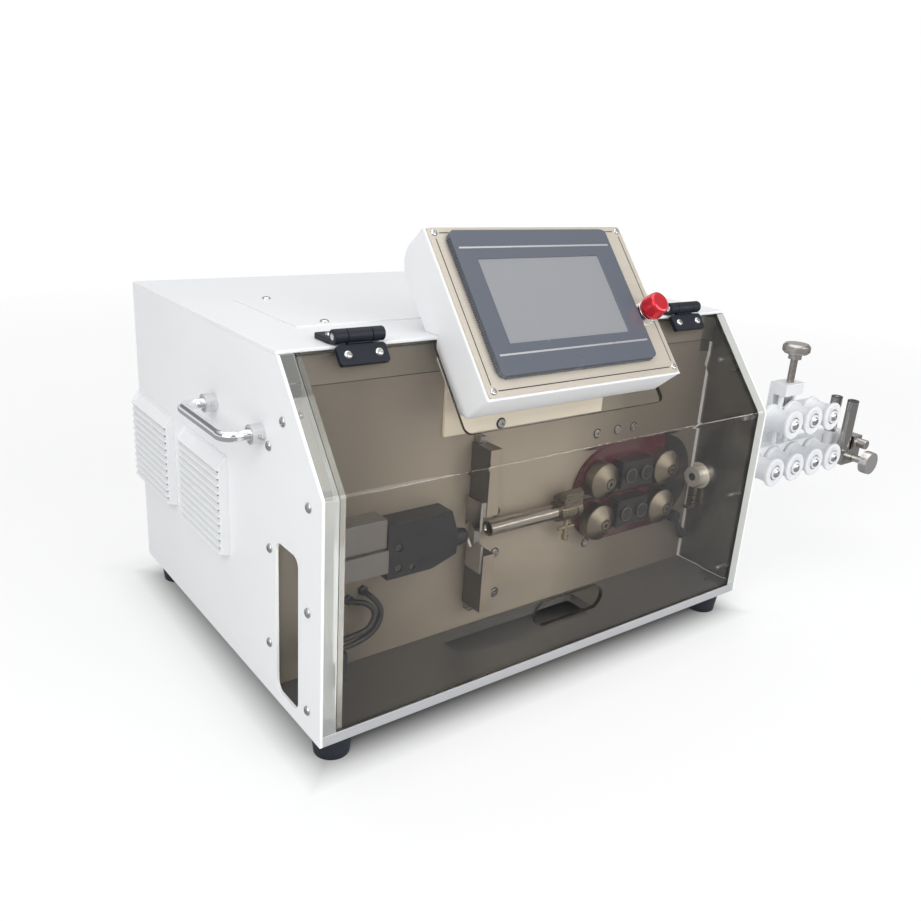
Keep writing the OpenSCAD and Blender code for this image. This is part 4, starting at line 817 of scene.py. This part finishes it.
pan_profile = [(3.6, -0.2), (3.6, 0.5), (3.2, 1.2), (2.4, 1.65), (1.8, 1.75)]
set_on_points("face_plate_screws", turned(pan_profile, 48, "cross", 1.5, 1.0),
              [(on_face(u, v, 0), OFF_FACE, turned_by(u + v)) for u in (-120, 120) for v in (-81, 81)],
              nickel, "cabinet")
face_line = bmesh.new()
line_depth = (-0.1, 0.08)
for v in (-81, 81):
    block(face_line, on_face, (-114, 114), (v - 0.5, v + 0.5), line_depth)
for u in (-120, 120):
    block(face_line, on_face, (u - 0.5, u + 0.5), (-75, 75), line_depth)
ink = finish("black_line", grain, (0.014, 0.014, 0.016), 0.4, bump=0.02, Tone=0.2, Spread=0.1)
piece("face_plate_line", mesh_from(face_line, "face_plate_line"), ink, "cabinet", smooth=0)
rib = bmesh.new()
block(rib, lambda a, b, c: Vector((a, b, c)) / 1000, (0.4, 5.5), (-0.6, 0.6), (-0.4, 1.1))
bezel_u, bezel_v, rib_pitch = -6.8, 4.6, 2.6
rib_spots = []
for side, out in ((1, UP_FACE), (-1, DOWN_FACE)):
    for u in [-94.9 + rib_pitch * i for i in range(74)]:
        rib_spots.append((on_face(bezel_u + u, bezel_v + side * 75, 0), out, OFF_FACE))
for side, out in ((1, RIGHT), (-1, LEFT)):
    for v in [-67.6 + rib_pitch * i for i in range(53)]:
        rib_spots.append((on_face(bezel_u + side * 102, bezel_v + v, 0), out, OFF_FACE))
set_on_points("bezel_ribs", rib, rib_spots, bezel_mat, "cabinet", smooth=0)
stripes = bmesh.new()
for v in (-55, 56):
    block(stripes, on_face, (bezel_u - 97, bezel_u + 97), (bezel_v + v - 0.9, bezel_v + v + 0.9), (6.8, 7.12))
piece("bezel_stripes", mesh_from(stripes, "bezel_stripes"), satin, "cabinet", smooth=0)


# End strips: thick clear acrylic at both ends, with a rabbet that the cover closes into.
# Each is sawn from sheet, polished and screwed to its side panel.
def clear_sheet(name, colour, rough, through, share=1.0, bends=1.49):
    """Clear or tinted acrylic that lets lamps through."""
    made = finish(name, grain, colour, rough, bump=0.01, Tone=0.03, Spread=0.02, Scale=40.0,
                  fixed={"Transmission Weight": share, "IOR": bends})
    nt = made.node_tree
    clear = nt.nodes.new("ShaderNodeBsdfTransparent")
    clear.inputs[0].default_value = (*through, 1)
    rays = nt.nodes.new("ShaderNodeLightPath")
    both = nt.nodes.new("ShaderNodeMixShader")
    nt.links.new(rays.outputs["Is Shadow Ray"], both.inputs[0])
    nt.links.new(nt.nodes["Principled BSDF"].outputs[0], both.inputs[1])
    nt.links.new(clear.outputs[0], both.inputs[2])
    nt.links.new(both.outputs[0], nt.nodes["Material Output"].inputs["Surface"])
    return made


pale_shadow = (0.9, 0.93, 0.92)
strip_mat = clear_sheet("milky_acrylic", (0.93, 0.95, 0.92), 0.14, pale_shadow, share=0.7)
clear_mat = clear_sheet("clear_acrylic", (0.94, 0.95, 0.93), 0.05, pale_shadow, bends=1.06)
lit_mat = clear_sheet("lit_acrylic", (0.61, 0.62, 0.585), 0.16, pale_shadow, share=0.25)
slope_mat = clear_sheet("slope_acrylic", (0.90, 0.92, 0.89), 0.08, pale_shadow, share=0.87)


def strip_finish(normal, middle):
    """The number of a strip's finish: the right one is clear with a lit edge, the left one milky."""
    if middle.x > cabinet_w / 2:
        return 3 if middle.x > 571 and normal.y < -0.3 else 1
    return 2 if normal.z > 0.3 and normal.y < -0.3 else 0


dressed("end_strips", [strip_mat, clear_mat, slope_mat, lit_mat], edge=0.4, finish_of=strip_finish)

# Safety cover: tinted acrylic, bent once, with a notch for the console and a finger slot.
# It hangs on two black hinges screwed to the roof.
smoked = clear_sheet("smoked_acrylic", (0.745, 0.725, 0.70), 0.015, (0.9, 0.87, 0.84), bends=1.33)
cut_edge = finish("cover_cut_edge", grain, (0.022, 0.020, 0.017), 0.18, bump=0.02, Tone=0.2, Spread=0.06)


def is_cut_edge(normal, middle):
    """The sheet's narrow sawn faces, told from its wide ones by their tilt."""
    tilt = math.degrees(math.atan2(normal.z, -normal.y)) % 180
    return abs(normal.x) > 0.1 or 44 < tilt < 176


dressed("safety_cover", [smoked, cut_edge], smooth=30, finish_of=is_cut_edge)
hinge_plastic = finish("hinge_plastic", grain, (0.0075, 0.0105, 0.018), 0.5, bump=0.12, Tone=0.4, Spread=0.12,
                       Scale=1100.0, fixed={"Specular IOR Level": 0.35})
for part in ("cover_hinge_leaves", "hinge_base_leaves"):
    dressed(part, hinge_plastic, edge=0.75)
slope_rise, slope_run, bend_z = 104, 83, 236
slope = math.atan2(slope_rise, slope_run)
OFF_SLOPE = (0, -math.sin(slope), math.cos(slope))


def on_slope(x, u, n):
    """A point of the cover's slope: across, up the slope from the bend and out of it, in millimetres."""
    return at(x, u * math.cos(slope) - n * math.sin(slope),
              bend_z + u * math.sin(slope) + n * math.cos(slope))


hinge_profile = [(4.2, -0.3), (4.2, 0.5), (3.7, 1.3), (2.7, 1.9), (2.0, 2.0)]
hinge_x = [middle + side for middle in (78, 509) for side in (-15.6, 15.6)]
set_on_points("cover_leaf_screws", turned(hinge_profile, 48, "cross", 1.8, 1.2),
              [(on_slope(x, 121.6, 5), OFF_SLOPE, turned_by(x)) for x in hinge_x], nickel, "cover")
set_on_points("roof_leaf_screws", turned(hinge_profile, 48, "cross", 1.8, 1.2),
              [(at(x, 104.5, 345), UP, turned_by(x)) for x in hinge_x], nickel, "cabinet")
pin_ends = ((53, LEFT), (103, RIGHT), (484, LEFT), (534, RIGHT))
set_on_points("hinge_pin_ends", turned([(3.0, -0.3), (3.0, 0.3), (2.5, 0.7), (1.4, 0.8)], 28),
              [(at(x, 83, 348), out, UP) for x, out in pin_ends], nickel, "cabinet")

# Straightener: milled bars with white nylon spool rollers on steel axles, a screw that sets the upper row
# and two polished guide posts.
nylon = finish("white_nylon", grain, (0.69, 0.70, 0.72), 0.42, bump=0.06, Tone=0.05, Spread=0.1)
knurled = finish("knob_steel", brushed, (0.48, 0.45, 0.42), 0.3, metal=1.0, bump=0.1, Tone=0.2)
arm_metal = finish("straightener_aluminium", brushed, (0.84, 0.85, 0.865), 0.38, metal=0.3, bump=0.05,
                   Tone=0.1, Spread=0.12)
dressed("straightener_base", arm_metal, edge=0.5)
dressed("upper_roller_bar", arm_metal, edge=0.8)
bearing_profile = [(10.9, -0.2), (10.9, 2.2), (10.4, 2.6), (9.8, 2.6), (9.35, 2.2), (9.35, -0.2)]
for part in slot_of:
    if slot_of[part] == "nylon_white":
        dressed(part, nylon, smooth=40)
        low, high = (Vector(corner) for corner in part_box(part))
        hub = Vector(((low.x + high.x) / 2, low.y + 0.003, (low.z + high.z) / 2))
        set_on_points(part + "_bearing", turned(bearing_profile, 48, hollow=True), [(hub, FRONT, RIGHT)],
                      nickel, body_of[part])
axle_screw = [(6.3, -0.2), (6.3, 0.7), (5.6, 2.0), (4.2, 2.9), (3.0, 3.1)]
row_x, roller_pitch, axle_front = 728, 47, 59
rows = [("lower", "cabinet", row_x, 4, 113.5),
        ("upper", body_of["upper_roller_bar"], row_x + roller_pitch / 2, 3, 178.5)]
for row, owner, start, count, z in rows:
    row_places = [start + roller_pitch * i for i in range(count)]
    set_on_points(row + "_axle_screws", turned(axle_screw, 48, "cross", 2.7, 1.8),
                  [(at(x, axle_front, z), FRONT, turned_by(x)) for x in row_places], nickel, owner)
post_steel = finish("post_steel", brushed, (0.46, 0.445, 0.42), 0.13, metal=1.0, bump=0.03, Tone=0.12,
                    Spread=0.1, Stretch=(300.0, 300.0, 12.0))
dressed("height_screw", knurled, edge=0.3)
gap_steel = finish("gap_knob_steel", brushed, (0.68, 0.66, 0.63), 0.3, metal=1.0, bump=0.1, Tone=0.2)
dressed("gap_screw", gap_steel, edge=0.3)
dressed("guide_post_carrier", post_steel, edge=0.3)
height_knurl = [(18.2, 0.0), (18.75, 0.6), (18.75, 7.4), (18.2, 8.0), (17.6, 8.0), (17.6, 0.0)]
gap_knurl = [(16.3, 0.0), (16.8, 0.5), (16.8, 7.5), (16.3, 8.0), (15.6, 8.0), (15.6, 0.0)]
screw_x, screw_y, thread_low, thread_pitch = 798.5, 108, 223, 1.75
set_on_points("height_knob_knurl", turned(height_knurl, 120, teeth=(18.5, 0.35), hollow=True),
              [(at(screw_x, screw_y, 267), UP, RIGHT)], knurled, "height_screw")
set_on_points("gap_knob_knurl", turned(gap_knurl, 108, teeth=(16.6, 0.35), hollow=True),
              [(at(925.5, 40, 104), FRONT, RIGHT)], gap_steel, "gap_screw")
thread_spots = [(at(screw_x, screw_y, thread_low + thread_pitch * i), UP, RIGHT) for i in range(19)]
set_on_points("height_screw_thread", turned([(5.02, 0.0), (5.02, 0.7), (4.9, 0.7)], 28), thread_spots,
              blackened, "height_screw")
post_cap = [(8.05, -0.6), (8.05, 0.4), (7.5, 0.8), (5.6, 0.8)]
post_x, rear_post_y, front_post_y = 907, 94, 68
for owner, y in (("cabinet", rear_post_y), (body_of["guide_post_carrier"], front_post_y)):
    set_on_points("post_cap_" + owner, turned(post_cap, 40, "hexagon", 3.6, 2.5),
                  [(at(post_x, y, 192.5), UP, RIGHT)], blackened, owner)
set_on_points("rear_post_sleeve", turned([(8.1, 0.0), (8.1, 52), (7.9, 52), (7.9, 0.0)], 48, hollow=True),
              [(at(post_x, rear_post_y, 140), UP, RIGHT)], post_steel, "cabinet")
set_on_points("cross_rod_sleeve", turned([(7.02, -13.5), (7.02, 0.1), (6.4, 0.5), (5.0, 0.6)], 40),
              [(at(930, 46, 127.5), FRONT, RIGHT)], knurled, "cabinet")
